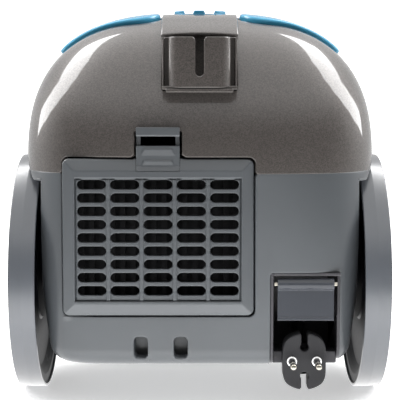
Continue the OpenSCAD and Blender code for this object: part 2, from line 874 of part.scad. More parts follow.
// Lid over the dust chamber, with its hinge knuckles and the bosses of the carry handle
module dust_lid() {
    color("#5d5650")
    difference() {
        union() {
            difference() {
                upper_solid(0);
                upper_solid(-wall, 1);
                span([-200, -260, 150], [200, lid_edge, 330]);
                span([-200, -10, 150], [200, 260, seam_z + 0.4]);
                span([-24, 190, 170], [24, 230, 212]);
                // lets the rear of the rim swing past the lower shell
                difference() {
                    span([-200, -10, 150], [200, hinge[0], 230]);
                    rod_x(hinge[1] - seam_z - 0.5, -210, 210, hinge[0], hinge[1], 96);
                }
            }
            for (side = [-1, 1])
                span([side * 26.8 - 2.4, 191, 201], [side * 26.8 + 2.4, 199.5, 211]);
            // hinge knuckles outside the ears, on webs down from the skin
            intersection() {
                for (side = [-1, 1])
                    translate([side * 38.5, hinge[0] + 5, hinge[1] + 16]) cube([10, 18, 40], center = true);
                upper_solid(-wall + 0.5);
            }
            for (side = [-1, 1])
                rod_x(8, side * 52 - 5, side * 52 + 5, handle[0], handle[1] - 3, 48);
        }
        rod_x(2, -60, 60, hinge[0], hinge[1]);
        for (side = [-1, 1])
            rod_x(4.6, side * hinge_x - 3.5, side * hinge_x + 3.5, hinge[0], hinge[1]);
        rod_x(2.5, -70, 70, handle[0], handle[1]);
        rod_x(1.56, -40, 40, catch_pin[0], catch_pin[1]);
        at_inlet() cylinder(r = 22.5, h = 100, $fn = 72);
    }
}

// Hinge pins in the lid's knuckles, and the pins of the carry handle
module lid_pins() {
    color("silver")
    for (side = [-1, 1]) {
        rod_x(2, side > 0 ? hinge_x - 3 : -43.5, side > 0 ? 43.5 : -hinge_x + 3, hinge[0], hinge[1]);
        rod_x(2.5, side > 0 ? 39 : -57, side > 0 ? 57 : -39, handle[0], handle[1]);
    }
}

// Rocking catch on the nose: a curved finger plate on a trunnion
module lid_latch() {
    color("deepskyblue") {
        difference() {
            intersection() {
                rod_z(front_reach + crest_back + 3, 174, 210, 0, crest_y, 96);
                span([-22, 150, 174], [22, 230, 210]);
            }
            rod_z(front_reach + crest_back - 3, 170, 220, 0, crest_y, 96);
        }
        rod_x(1.5, -28.5, 28.5, catch_pin[0], catch_pin[1]);
        span([-10, 193.5, 204.5], [10, 203, 207.5]);
    }
}

// Gasket on the rim of the dust chamber
module lid_seal() {
    color("black")
    intersection() {
        difference() {
            lower_solid(-wall);
            lower_solid(-wall - 5);
        }
        difference() {
            span([-200, -2.9, seam_z - 5], [200, 230, seam_z - 0.6]);
            span([-25, 170, 150], [25, 230, 200]);
        }
    }
}

// Places children along the tilted axis of the hose inlet
module at_inlet() {
    translate(inlet_root) rotate([-inlet_tilt, 0, 0]) children();
}

// Socket for the hose end, moulded through the lid
module inlet_socket() {
    color("dimgray")
    at_inlet()
        rotate_extrude($fn = 72) polygon([
            [inlet_r, 4.2], [22.5, 4.2], [22.5, 70], [30, 70], [30, 73], [24, 80], [inlet_r, 80]
        ]);
}

module inlet_seal() {
    color("black")
    at_inlet()
        rotate_extrude($fn = 72) polygon([[17, 0.6], [22, 0.6], [22, 4.2], [17, 4.2]]);
}

// Folding carry handle on the lid: two flat arms and a round grip
module carry_handle() {
    color("#5d5650")
    difference() {
        union() {
            for (side = [-1, 1])
                hull() {
                    rod_x(6, side > 0 ? 40 : -46.4, side > 0 ? 46.4 : -40, handle[0], handle[1], 32);
                    rod_x(5, side > 0 ? 40 : -46.4, side > 0 ? 46.4 : -40, grip[0], grip[1], 32);
                }
            rod_x(6.5, -46.4, 46.4, grip[0], grip[1], 48);
        }
        rod_x(2.56, -60, 60, handle[0], handle[1]);
    }
}

module dust_bag() {
    color("ivory") {
        rounded_bar_y(168, 124, 24, 22, 108, 0, 104);
        at_inlet() translate([0, 0, -66]) cylinder(r = 24, h = 62.6, $fn = 48);
    }
}

module bag_plate() {
    color("tan")
    at_inlet()
        difference() {
            translate([-50, -46, -3]) cube([100, 92, 3]);
            translate([0, 0, -5]) cylinder(r = 16.5, h = 10, $fn = 64);
        }
}

// Frame that the bag's card plate slides into, on two legs from the floor of the chamber
module bag_holder() {
    color("#2f8fb8") {
        at_inlet()
            difference() {
                translate([-58, -46, -7]) cube([116, 92, 7]);
                translate([-50.2, -47, -3.2]) cube([100.4, 94, 10]);
                translate([-40, -36, -10]) cube([80, 72, 20]);
            }
        for (side = [-1, 1])
            span([side * 54 - 3, 118, under_z + wall], [side * 54 + 3, 126, 190]);
    }
}

module switch_body() {
    color("#1c1c1e")
    difference() {
        span([-97, -108, 253], [-73, -92, 262]);
        span([-89.3, -104.3, 254.5], [-80.7, -95.7, 270]);
    }
}

module switch_plunger() {
    color("white") span([-89, -104, 260], [-81, -96, 266.7]);
}

module control_board() {
    color("darkgreen") {
        span([-34, -112, 258], [34, -46, 259.6]);
        for (x = [-30, 30], y = [-106, -52])
            rod_z(3, 253, 258, x, y, 24);
        span([-8, knob_y - 8, 259.6], [8, knob_y + 8, 268]);
    }
}

// Screws that clamp the hood to the lower shell from below
module case_screws() {
    color("silver")
    for (x = [-96, 96], y = [-30, 60])
        translate([x, y, under_z])
            rotate_extrude($fn = 24) polygon([
                [0, 0.4], [1.5, 0], [4.1, 0], [4.1, 1.95], [1.95, 1.95], [1.95, 14], [0, 15]
            ]);
}

// Power dial with three ridges over two grooves
module power_knob() {
    color("deepskyblue")
    difference() {
        union() {
            rod_z(3, 268.3, 309.5, 0, knob_y);
            rod_z(22.5, 309, 310.4, 0, knob_y, 64);
            rod_z(21.5, 310.4, 313.4, 0, knob_y, 64);
        }
        for (x = [-9, 8])
            span([x - 3.8, knob_y - 30, 310.6], [x + 3.8, knob_y + 30, 320]);
    }
}

lower_shell();
hood();
parking_bracket();
partition();
control_deck();
motor_cover();
motor_mounts();
fan_shroud();
stator();
brush_holders();
motor_bearings();
armature();
impeller();
pre_motor_filter();
exhaust_filter();
filter_frame();
grille_cover();
grille_latch();
power_pedal();
rewind_pedal();
power_pedal_spring();
rewind_pedal_spring();
switch_body();
switch_plunger();
control_board();
power_knob();
left_wheel();
left_tyre();
left_hub_cap();
right_wheel();
right_tyre();
right_hub_cap();
wheel_axles();
caster_fork();
caster_axle();
caster_wheel();
reel_drum();
reel_spring_case();
cord_pack();
cord_lead();
reel_pins();
brake_lever();
plug_bay();
bay_flap();
cord_tail();
strain_relief();
plug_body();
plug_pins();
pin_collars();
dust_lid();
lid_pins();
lid_latch();
lid_seal();
inlet_socket();
inlet_seal();
carry_handle();
dust_bag();
bag_plate();
bag_holder();
case_screws();
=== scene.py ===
"""Canister vacuum cleaner seen from behind: the looks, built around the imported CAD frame.

Shapes are worked out in millimetres in the CAD's own frame (rear towards -Y, hose inlet towards +Y,
standing on z = 0) and turned into metres when their mesh is made."""
import json
import math
from functools import reduce

import bpy
import numpy as np
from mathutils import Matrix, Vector


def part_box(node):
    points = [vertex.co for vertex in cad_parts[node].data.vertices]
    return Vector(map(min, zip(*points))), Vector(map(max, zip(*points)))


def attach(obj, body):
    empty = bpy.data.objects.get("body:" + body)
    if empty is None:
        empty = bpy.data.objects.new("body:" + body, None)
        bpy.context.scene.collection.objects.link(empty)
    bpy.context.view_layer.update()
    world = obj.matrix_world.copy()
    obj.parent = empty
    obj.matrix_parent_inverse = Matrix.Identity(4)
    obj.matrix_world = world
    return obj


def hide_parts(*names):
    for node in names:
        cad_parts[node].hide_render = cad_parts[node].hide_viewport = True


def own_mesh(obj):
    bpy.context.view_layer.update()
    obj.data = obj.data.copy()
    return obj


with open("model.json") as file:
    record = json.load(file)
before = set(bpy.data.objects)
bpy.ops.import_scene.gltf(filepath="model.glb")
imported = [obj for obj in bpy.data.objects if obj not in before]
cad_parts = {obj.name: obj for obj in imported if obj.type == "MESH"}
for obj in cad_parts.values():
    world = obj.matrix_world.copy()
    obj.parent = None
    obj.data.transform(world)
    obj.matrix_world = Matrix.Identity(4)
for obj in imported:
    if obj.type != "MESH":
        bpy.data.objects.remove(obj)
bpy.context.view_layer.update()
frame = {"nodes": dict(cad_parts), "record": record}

MM = 0.001
SIDES = (("left", -1), ("right", 1))
PEDALS = (("power", -1), ("rewind", 1))

# -------- sizes

# Body envelope, with the design's own values
BODY_HALF, SEAM_Z, CREST_Z, UNDER_Z = 141, 185, 308, 36
REAR_REACH, FRONT_REACH, CREST_Y = 205, 205, -70
SIDE_N, BACK_N, FRONT_N, NOSE_N = 2.75, 2.4, 2.1, 2.7
SIDE_TAPER, TAIL_TAPER, NOSE_TAPER, EDGE_R, WALL, ROLL = 23, 5, 34, 12, 3, 0.8
RING = 420
ROW = 2.2
PART_GAP = 0.35


def box(node):
    """Low and high corner of a CAD node, in millimetres"""
    low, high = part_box(node)
    return np.array(low) / MM, np.array(high) / MM


grille_low, grille_high = box("grille_cover")
latch_low, latch_high = box("grille_latch")
bay_low, bay_high = box("plug_bay")
flap_low, flap_high = box("bay_flap")
knob_low, knob_high = box("power_knob")
bracket_low, bracket_high = box("parking_bracket")
tyre_low, tyre_high = box("right_tyre")
plug_low, plug_high = box("plug_body")
WHEEL_R = (tyre_high[2] - tyre_low[2]) / 2
AXLE_Y = (tyre_high[1] + tyre_low[1]) / 2
WELL_X, WELL_R, WELL_TOP = tyre_low[0] - 3, WHEEL_R + 6, 178
BRACKET_X = (bracket_low[0] + bracket_high[0]) / 2
LATCH_X = (latch_low[0] + latch_high[0]) / 2
PLUG_X, PLUG_Z, PLUG_R = (plug_low[0] + plug_high[0]) / 2, (plug_low[2] + plug_high[2]) / 2, 21.8
KNOB_Y = (knob_low[1] + knob_high[1]) / 2
HOOD_EDGE, LID_EDGE = -0.6, 1.8

# Pedals: a large and a small disc in plan (x, y, radius), their lift above the hood, the gap round
# them and their stem's place in plan
PEDAL_BIG, PEDAL_SMALL = (54, -102, 21), (108.5, -98, 9)
PEDAL_LIFT, PEDAL_GAP, PEDAL_STEM = 3.6, 2.6, (85, -100)

# Grille cover: width and fall of its sloping band, gap round it, its hinge line in y and z, and the
# foot and top of its latch tab
BAND, BAND_DROP, GRILLE_GAP = 9.2, 3.8, 0.9
HINGE_Y, HINGE_Z = -200.2, 80.6
LATCH_FOOT, LATCH_TOP = 187.5, 206.5

# Vents under the grille: their middles along x, and the height and size of each
VENTS, VENT_Z, VENT_SIZE = (-45.4, -14.8), 50.8, (10.6, 17.6)

# Window behind the lid's catch: half its width, its sill, its head and how far back it reaches
CATCH_HALF, CATCH_SILL, CATCH_HEAD, CATCH_FRONT = 24, 170, 212, 150

# Anything further forward than this is no part of the rear face
REAR_ONLY = -120

# The cord's free stretch, from the bay's outlet to the plug's strain relief, in y and z
CORD_X, CORD_R = PLUG_X, 3.2
TAIL = [(-128, 55), (-132, 55), (-136, 54.7), (-140, 54.1), (-144, 53), (-148, 51.4), (-152, 49.5),
        (-156, 47.6), (-160, 46), (-164, 45.1), (-168, 45)]

# -------- signed distances and grids


def from_box(a, b, middle, size, radius):
    """Distance to a rounded rectangle in two coordinates, negative inside it"""
    qa = np.abs(a - middle[0]) - size[0] / 2 + radius
    qb = np.abs(b - middle[1]) - size[1] / 2 + radius
    return np.hypot(np.maximum(qa, 0), np.maximum(qb, 0)) + np.minimum(np.maximum(qa, qb), 0) - radius


def from_disc(a, b, middle, radius):
    """Distance to a disc in two coordinates, negative inside it"""
    return np.hypot(a - middle[0], b - middle[1]) - radius


def least(*fields):
    """The smallest field at each point: what every one of them keeps"""
    return reduce(np.minimum, fields)


def most(*fields):
    """The largest field at each point: negative only where every one of them is"""
    return reduce(np.maximum, fields)


def apart(middle, side, near, far):
    """Low and high edge of a strip that lies from near to far of the middle, on one side"""
    return sorted((middle + side * near, middle + side * far))


def from_pedal(x, y, side):
    """Distance to a pedal's plan: the hull of a large and a small disc, negative inside it"""
    big, small = np.array(PEDAL_BIG[:2]) * (side, 1), np.array(PEDAL_SMALL[:2]) * (side, 1)
    length = np.linalg.norm(small - big)
    along = (small - big) / length
    px, py = x - big[0], y - big[1]
    v = px * along[0] + py * along[1]
    u = np.abs(px * along[1] - py * along[0])
    b = (PEDAL_BIG[2] - PEDAL_SMALL[2]) / length
    a = math.sqrt(1 - b * b)
    k = -b * u + a * v
    middle = a * u + b * v - PEDAL_BIG[2]
    past = np.hypot(u, v - length) - PEDAL_SMALL[2]
    return np.where(k < 0, np.hypot(u, v) - PEDAL_BIG[2], np.where(k > a * length, past, middle))


def lines(edges, step):
    """Grid lines on every edge, with others between them no more than step apart"""
    out = []
    for low, high in zip(edges, edges[1:]):
        count = max(1, math.ceil((high - low) / step - 1e-6))
        out += [low + (high - low) * i / count for i in range(count)]
    return np.array(out + [edges[-1]], float)


def ease(t):
    """A step from 0 to 1 with smooth ends"""
    t = np.clip(t, 0, 1)
    return t * t * (3 - 2 * t)


# -------- the body's envelope


def superellipse(t, n):
    """Height of a curve that falls from 1 to 0 as t goes from 0 to 1, squarer as n grows"""
    return np.clip(1 - np.minimum(1, np.abs(t)) ** n, 0, None) ** (1 / n)


def level(z, g):
    """Half width, rear reach, nose reach and rear corner power of the body's outline at height z"""
    below = np.clip(SEAM_Z - z, 0, None) / (SEAM_Z - UNDER_Z)
    rise = np.clip(z - SEAM_Z, 0, None) / (CREST_Z + g - SEAM_Z)
    h = np.clip(UNDER_Z - g + EDGE_R - z, 0, EDGE_R)
    tuck = EDGE_R - np.sqrt(EDGE_R * EDGE_R - h * h)
    half = (BODY_HALF + g) * superellipse(rise, SIDE_N) - SIDE_TAPER * below - tuck
    rear = (REAR_REACH + CREST_Y + g) * superellipse(rise, BACK_N) - TAIL_TAPER * below - tuck
    nose = (FRONT_REACH - CREST_Y + g) * superellipse(rise, FRONT_N) - NOSE_TAPER * below**2 - tuck
    return np.maximum(half, 1e-3), np.maximum(rear, 1e-3), np.maximum(nose, 1e-3), 4.2 + 4.8 * below


def envelope(angle, z, g, share=1.0):
    """Points on the body's outline at height z, grown by g; share shrinks it about its middle"""
    half, rear, nose, corner = level(z, g)
    c, s = np.cos(angle), np.sin(angle)
    n = np.where(s < 0, corner, NOSE_N)
    reach = np.where(s < 0, rear, nose)
    r = share * (np.abs(c / half) ** n + np.abs(s / reach) ** n) ** (-1 / n)
    return np.stack([r * c, CREST_Y + r * s, z + 0 * r], -1)


def inside(p, g=0.0):
    """How deep points lie inside the envelope grown by g, measured towards its vertical axis"""
    x, y, z = p.T
    half, rear, nose, corner = level(z, g)
    back = y < CREST_Y
    n = np.where(back, corner, NOSE_N)
    reach = np.where(back, rear, nose)
    t = (np.abs(x / half) ** n + np.abs((y - CREST_Y) / reach) ** n) ** (1 / n)
    return np.hypot(x, y - CREST_Y) * (1 / np.maximum(t, 1e-6) - 1)


def rear_y(x, z, g=0.0):
    """Where the rear face lies at x and z"""
    half, rear, _, corner = level(np.float64(z), g)
    return CREST_Y - rear * (1 - min(1, abs(x) / half) ** corner) ** (1 / corner)


# Rows of the lower skin run from the middle of the underside, round its edge and up to the seam
FLOOR_ROWS, EDGE_ROWS = 60, 6
SIDE_ROWS = round((SEAM_Z - UNDER_Z - EDGE_R) / ROW)
LOWER_ROWS = np.arange(FLOOR_ROWS + EDGE_ROWS + SIDE_ROWS + 1, dtype=float)


def lower_point(angle, row, g):
    foot = UNDER_Z - g
    share = np.clip(row / FLOOR_ROWS, 0, 1)
    turn = np.clip((row - FLOOR_ROWS) / EDGE_ROWS, 0, 1) * math.pi / 2
    climb = np.clip((row - FLOOR_ROWS - EDGE_ROWS) / SIDE_ROWS, 0, 1)
    z = foot + EDGE_R * (1 - np.cos(turn)) + climb * (SEAM_Z - foot - EDGE_R)
    return envelope(angle, z, g, share)


# Rows of the upper skin climb from the seam to the crest in even steps along the side
UPPER_ROWS = np.linspace(0, 1, 104)
_turn = np.linspace(0, math.pi / 2, 4001)
_wide, _high = BODY_HALF * np.cos(_turn) ** (2 / SIDE_N), (CREST_Z - SEAM_Z) * np.sin(_turn) ** (2 / SIDE_N)
_run = np.concatenate([[0], np.cumsum(np.hypot(np.diff(_wide), np.diff(_high)))])


def upper_point(angle, row, g):
    rise = np.interp(row * _run[-1], _run, _high / (CREST_Z - SEAM_Z))
    return envelope(angle, SEAM_Z + rise * (CREST_Z + g - SEAM_Z), g)


ROUND = np.linspace(0, 2 * math.pi, RING, endpoint=False)

# -------- cut and rolled skins


def snapped_grid(point, keep, us, vs, wrap):
    """Grid whose lines nearest to keep = 0 are moved onto it: parameters, field and cells"""
    u, v = np.meshgrid(us, vs)
    field = keep(point(u.ravel(), v.ravel())).reshape(u.shape)
    new_u, new_v, best = u.copy(), v.copy(), np.full(u.shape, 9.0)
    for axis in (1, 0):
        far_f, far_u, far_v = (np.roll(a, -1, axis) for a in (field, u, v))
        real = np.ones(u.shape, bool)
        if axis == 1 and wrap:
            far_u[:, -1] += 2 * math.pi
        elif axis == 1:
            real[:, -1] = False
        else:
            real[-1] = False
        cross = real & (field * far_f < 0)
        t = np.where(cross, field / np.where(cross, field - far_f, 1), 0)
        at_u, at_v = u + t * (far_u - u), v + t * (far_v - v)
        near = cross & (t <= 0.5) & (t < best)
        new_u[near], new_v[near], best[near] = at_u[near], at_v[near], t[near]
        shift = [np.roll(a, 1, axis) for a in (cross & (t > 0.5), 1 - t, at_u, at_v)]
        near = shift[0] & (shift[1] < best)
        new_u[near], new_v[near], best[near] = shift[2][near], shift[3][near], shift[1][near]
    return new_u, new_v, np.where(best < 9, 0, field)


def cells_between(index, wrap=True):
    """Quads between rows of numbered points, each row closed into a ring unless wrap is false"""
    right = np.roll(index, -1, 1)
    cells = np.stack([index[:-1], right[:-1], right[1:], index[1:]], -1)
    if not wrap:
        cells = cells[:, :-1]
    return cells.reshape(-1, 4)


def cut_faces(point, keep, us, vs, wrap):
    """The part of a surface where keep is positive, as parameters and faces"""
    u, v, field = snapped_grid(point, keep, us, vs, wrap)
    cells = cells_between(np.arange(u.size).reshape(u.shape), wrap)
    out = field.ravel()[cells] < 0
    quads = cells[out.sum(1) == 0]
    corner = cells[out.sum(1) == 1]
    lost = out[out.sum(1) == 1].argmax(1)
    tris = np.stack([corner[np.arange(len(corner)), (lost + k) % 4] for k in (1, 2, 3)], -1)
    flat_u, flat_v, flat_f = u.ravel(), v.ravel(), field.ravel()

    def kept(faces):
        if not len(faces):
            return faces
        edge_only = (flat_f[faces] == 0).all(1)
        us_of = flat_u[faces]
        if wrap:
            us_of = us_of + 2 * math.pi * (us_of < us_of.max(1, keepdims=True) - math.pi)
        middle = keep(point(us_of.mean(1), flat_v[faces].mean(1)))
        return faces[~edge_only | (middle > 0)]

    quads, tris = kept(quads), kept(tris)
    used = np.unique(np.concatenate([quads.ravel(), tris.ravel()]))
    renumber = np.zeros(u.size, int)
    renumber[used] = np.arange(len(used))
    return flat_u[used], flat_v[used], renumber[quads], renumber[tris]


def unit(v):
    """Vectors scaled to a length of one"""
    return v / np.maximum(np.linalg.norm(v, axis=-1, keepdims=True), 1e-12)


def open_edges(faces, points):
    """Directed edges that only one face uses, leaving out those with no length"""
    pairs = np.concatenate([np.stack([f, np.roll(f, -1, 1)], -1).reshape(-1, 2) for f in faces if len(f)])
    pairs = pairs[np.linalg.norm(points[pairs[:, 0]] - points[pairs[:, 1]], axis=1) > 1e-5]
    count = len(points)
    alone = ~np.isin(pairs[:, 0] * count + pairs[:, 1], pairs[:, 1] * count + pairs[:, 0])
    return pairs[alone]


def vertex_normals(points, faces):
    """Outward direction at each point, from the faces round it"""
    total = np.zeros(points.shape)
    for f in faces:
        if len(f):
            diagonal = np.cross(points[f[:, -2]] - points[f[:, 0]], points[f[:, -1]] - points[f[:, 1]])
            for k in range(f.shape[1]):
                np.add.at(total, f[:, k], diagonal)
    return unit(total)


def skin(name, point, keep, us, vs, wall, roll=0.8, wrap=False, steps=3, back=None):
    """A moulded wall: point(u, v, 0) cut where keep reaches zero, its edges rolled over with radius
    roll, and the same cut surface behind it, at -wall or where back puts it"""
    radius = roll if callable(roll) else (lambda p: roll)
    u, v, quads, tris = cut_faces(lambda a, b: point(a, b, 0), lambda p: keep(p) - radius(p), us, vs, wrap)
    outer = point(u, v, 0)
    inner = point(u, v, -wall) if back is None else back(u, v)
    edges = open_edges((quads, tris), outer)
    normal = vertex_normals(outer, (quads, tris))
    count = len(outer)
    start, end = edges.T
    across = unit(np.cross(outer[end] - outer[start], normal[start] + normal[end]))
    away = np.zeros(outer.shape)
    np.add.at(away, start, across)
    np.add.at(away, end, across)
    size = np.linalg.norm(away, axis=1, keepdims=True)
    away = 2 * away / np.maximum(size, 1.2) ** 2
    rim = np.unique(edges)
    place = np.zeros(count, int)
    place[rim] = np.arange(len(rim))
    r = (radius(outer[rim]) * np.ones(len(rim)))[:, None]
    points, faces = [outer], [quads, tris]
    low = edges
    for k in range(1, steps + 1):
        turn = math.pi / 2 * k / steps
        points.append(outer[rim] + away[rim] * r * math.sin(turn) - normal[rim] * r * (1 - math.cos(turn)))
        high = place[edges] + count + len(rim) * (k - 1)
        faces.append(np.stack([low[:, 1], low[:, 0], high[:, 0], high[:, 1]], -1))
        low = high
    base = count + len(rim) * steps
    inner[rim] += away[rim] * r
    points.append(inner)
    high = edges + base
    faces.append(np.stack([low[:, 1], low[:, 0], high[:, 0], high[:, 1]], -1))
    faces += [quads[:, ::-1] + base, tris[:, ::-1] + base]
    return solid(name, np.concatenate(points), faces)


def new_piece(name, points, faces):
    """An object in the scene, from points in metres"""
    mesh = bpy.data.meshes.new(name)
    mesh.from_pydata(points, [], faces)
    piece = bpy.data.objects.new(name, mesh)
    bpy.context.scene.collection.objects.link(piece)
    return piece


def shaded(piece):
    """Smooth shading that keeps flat faces flat"""
    for polygon in piece.data.polygons:
        polygon.use_smooth = True
    piece.modifiers.new("even shading", "WEIGHTED_NORMAL").keep_sharp = True
    return piece


def solid(name, points, faces):
    """A smooth-shaded object from points in millimetres and arrays of faces"""
    piece = new_piece(name, (points * MM).tolist(), [f for group in faces for f in group.tolist()])
    weld(piece.data)
    return shaded(piece)


def weld(mesh):
    """Joins coincident points, as at a pole, and drops what that flattens"""
    import bmesh
    work = bmesh.new()
    work.from_mesh(mesh)
    bmesh.ops.remove_doubles(work, verts=work.verts, dist=2e-6)
    bmesh.ops.dissolve_degenerate(work, edges=work.edges, dist=1e-6)
    work.to_mesh(mesh)
    work.free()


def plate(name, keep, us, vs, face, wall, roll=0.5, height=None, steps=3):
    """A flat moulding whose face looks to the rear (u is x, v is z) or up (u is x, v is y); height
    sinks the face below its plane"""
    def place(u, v, depth):
        if face[0] == "rear":
            return np.stack([u, face[1] + depth, v], -1)
        return np.stack([u, v, face[1] - depth], -1)

    def point(u, v, g):
        sunk = 0 if height is None else height(u, v)
        return place(u, v, sunk - g + 0 * u)

    def keep_at(p):
        return keep(p[:, 0], p[:, 2] if face[0] == "rear" else p[:, 1])

    def back(u, v):
        return place(u, v, wall + 0 * u)

    return skin(name, point, keep_at, us, vs, wall, roll, steps=steps, back=back)


def turned(name, profile, origin, axis, across, segments):
    """A turned piece: profile holds (distance along the axis, radius), across is square to the axis"""
    origin, axis, across = (np.array(v, float) for v in (origin, axis, across))
    turn = np.linspace(0, 2 * math.pi, segments, endpoint=False)[:, None]
    ring = np.cos(turn) * across + np.sin(turn) * np.cross(axis, across)
    rings = [origin + axis * along + ring * radius for along, radius in profile]
    index = np.arange(len(profile) * segments).reshape(-1, segments)
    return solid(name, np.concatenate(rings), [cells_between(index)])


def lathe(name, profile, centre, side, segments=160):
    """A turned piece about X, its profile running outwards on that side"""
    return turned(name, profile, centre, (side, 0, 0), (0, side, 0), segments)


def lathe_y(name, profile, centre, segments=64):
    """A turned piece about Y: profile holds (y from the centre, radius)"""
    turn = np.linspace(0, 2 * math.pi, segments, endpoint=False)
    p = np.array(profile, float)
    x = centre[0] + p[:, 1:2] * np.cos(turn)
    z = centre[2] + p[:, 1:2] * np.sin(turn)
    y = centre[1] + p[:, 0:1] + 0 * turn
    points = np.stack([x, y, z], -1).reshape(-1, 3)
    index = np.arange(len(p) * segments).reshape(len(p), segments)
    right = np.roll(index, -1, 1)
    faces = np.stack([index[:-1], index[1:], right[1:], right[:-1]], -1).reshape(-1, 4)
    return solid(name, points, [faces])


def rounded(points, radius, steps=4):
    """An open outline with its inner corners rounded"""
    p = [np.array(q, float) for q in points]
    out = [p[0]]
    for before, corner, after in zip(p, p[1:], p[2:]):
        a, b = unit(before - corner), unit(after - corner)
        room = min(np.linalg.norm(before - corner), np.linalg.norm(after - corner)) * 0.49
        half = math.acos(np.clip(a @ b, -1, 1)) / 2
        cut = min(radius / math.tan(half), room) if half < 1.56 else 0
        start, end = corner + a * cut, corner + b * cut
        for t in np.linspace(0, 1, steps + 1):
            out.append((1 - t) ** 2 * start + 2 * t * (1 - t) * corner + t * t * end)
    return out + [p[-1]]


def block(name, low, high, bevel=0.6, segments=3):
    """A box-shaped moulding with rounded edges"""
    low, high = np.array(low, float), np.array(high, float)
    corners = np.array([[i, j, k] for k in (0, 1) for j in (0, 1) for i in (0, 1)])
    points = low + corners * (high - low)
    faces = np.array([[0, 2, 3, 1], [4, 5, 7, 6], [0, 1, 5, 4], [2, 6, 7, 3], [0, 4, 6, 2], [1, 3, 7, 5]])
    return bevelled(name, points, [faces], bevel, segments)


def slab(name, outline, x0, x1, bevel=0.5, segments=2):
    """A sheet between x0 and x1 whose outline is given in y and z, anticlockwise from +X"""
    n = len(outline)
    points = np.array([[x, p[0], p[1]] for x in (x0, x1) for p in outline], float)
    ends = [np.array([list(range(n - 1, -1, -1))]), np.array([list(range(n, 2 * n))])]
    ring = np.array([[i, (i + 1) % n, n + (i + 1) % n, n + i] for i in range(n)])
    return bevelled(name, points, ends + [ring], bevel, segments)


def bevelled(name, points, faces, bevel, segments):
    """A solid whose sharp edges are rounded before the shading is worked out"""
    piece = solid(name, points, faces)
    edge = piece.modifiers.new("rounded edges", "BEVEL")
    edge.width = bevel * MM
    edge.segments = segments
    edge.limit_method = "ANGLE"
    edge.angle_limit = math.radians(30)
    piece.modifiers.move(1, 0)
    return piece


def rod(name, start, end, radius, bevel=0.4, segments=48):
    """A round pin between two points in millimetres, its ends rounded"""
    start, end = np.array(start, float), np.array(end, float)
    axis = unit(end - start)
    across = unit(np.cross(axis, (0, 0, 1) if abs(axis[2]) < 0.9 else (1, 0, 0)))
    length = np.linalg.norm(end - start)
    near = [(0, 0), (0, radius - bevel), (bevel * 0.3, radius - bevel * 0.3), (bevel, radius)]
    profile = near + [(length - along, r) for along, r in reversed(near)]
    return turned(name, profile, start, axis, across, segments)


def joined(name, pieces):
    """One object from several, with their modifiers applied first"""
    graph = bpy.context.evaluated_depsgraph_get()
    points, faces, start = [], [], 0
    for piece in pieces:
        mesh = bpy.data.meshes.new_from_object(piece.evaluated_get(graph))
        points += [(piece.matrix_world @ v.co)[:] for v in mesh.vertices]
        faces += [[start + i for i in p.vertices] for p in mesh.polygons]
        start += len(mesh.vertices)
        bpy.data.objects.remove(piece)
    return shaded(new_piece(name, points, faces))


# -------- materials


class Surface:
    """Builds one procedural material around a Principled shader"""

    def __init__(self, name, colour, roughness, metallic=0.0, **sockets):
        self.material = bpy.data.materials.new(name)
        self.material.use_nodes = True
        self.tree = self.material.node_tree
        self.shader = self.tree.nodes["Principled BSDF"]
        self.shader.inputs["Base Color"].default_value = (*colour, 1)
        self.shader.inputs["Roughness"].default_value = roughness
        self.shader.inputs["Metallic"].default_value = metallic
        for key, value in sockets.items():
            self.shader.inputs[key.replace("_", " ")].default_value = value
        self.place = self.tree.nodes.new("ShaderNodeTexCoord").outputs["Object"]
        self.colour = colour
        self.roughness = roughness
        self.normal = None

    def node(self, kind, **values):
        made = self.tree.nodes.new(kind)
        for key, value in values.items():
            setattr(made, key, value)
        return made

    def link(self, a, b):
        self.tree.links.new(a, b)

    def noise(self, scale, detail=3.0, stretch=None):
        """Noise over the object with about scale features to the metre"""
        made = self.node("ShaderNodeTexNoise")
        made.inputs["Scale"].default_value = scale
        made.inputs["Detail"].default_value = detail
        if stretch is None:
            self.link(self.place, made.inputs["Vector"])
        else:
            pull = self.node("ShaderNodeMapping")
            pull.inputs["Scale"].default_value = stretch
            self.link(self.place, pull.inputs["Vector"])
            self.link(pull.outputs["Vector"], made.inputs["Vector"])
        return made.outputs["Fac"]

    def spread(self, value, low, high, start=0.3, end=0.7):
        """Maps a value between start and end onto low to high"""
        made = self.node("ShaderNodeMapRange")
        for socket, number in zip(("From Min", "From Max", "To Min", "To Max"), (start, end, low, high)):
            made.inputs[socket].default_value = number
        self.link(value, made.inputs["Value"])
        return made.outputs["Result"]

    def mix(self, factor, first, second):
        made = self.node("ShaderNodeMix", data_type="RGBA")
        self.link(factor, made.inputs["Factor"])
        for socket, value in ((made.inputs[6], first), (made.inputs[7], second)):
            if isinstance(value, tuple):
                socket.default_value = (*value, 1)
            else:
                self.link(value, socket)
        return made.outputs[2]

    def worn_edges(self, colour, amount):
        """Lightens the colour a little where the surface is sharply convex"""
        shape = self.node("ShaderNodeNewGeometry").outputs["Pointiness"]
        pale = tuple(min(1, c * 1.35 + 0.05) for c in self.colour)
        return self.mix(self.spread(shape, 0, amount, 0.56, 0.66), colour, pale)

    def bump(self, value, height, strength=1.0):
        """Adds relief of that height in metres"""
        made = self.node("ShaderNodeBump")
        made.inputs["Distance"].default_value = height
        made.inputs["Strength"].default_value = strength
        self.link(value, made.inputs["Height"])
        if self.normal is not None:
            self.link(self.normal, made.inputs["Normal"])
        self.normal = made.outputs["Normal"]
        self.link(self.normal, self.shader.inputs["Normal"])


def shade(colour, share):
    """The colour made darker or lighter"""
    return tuple(min(1, c * share) for c in colour)


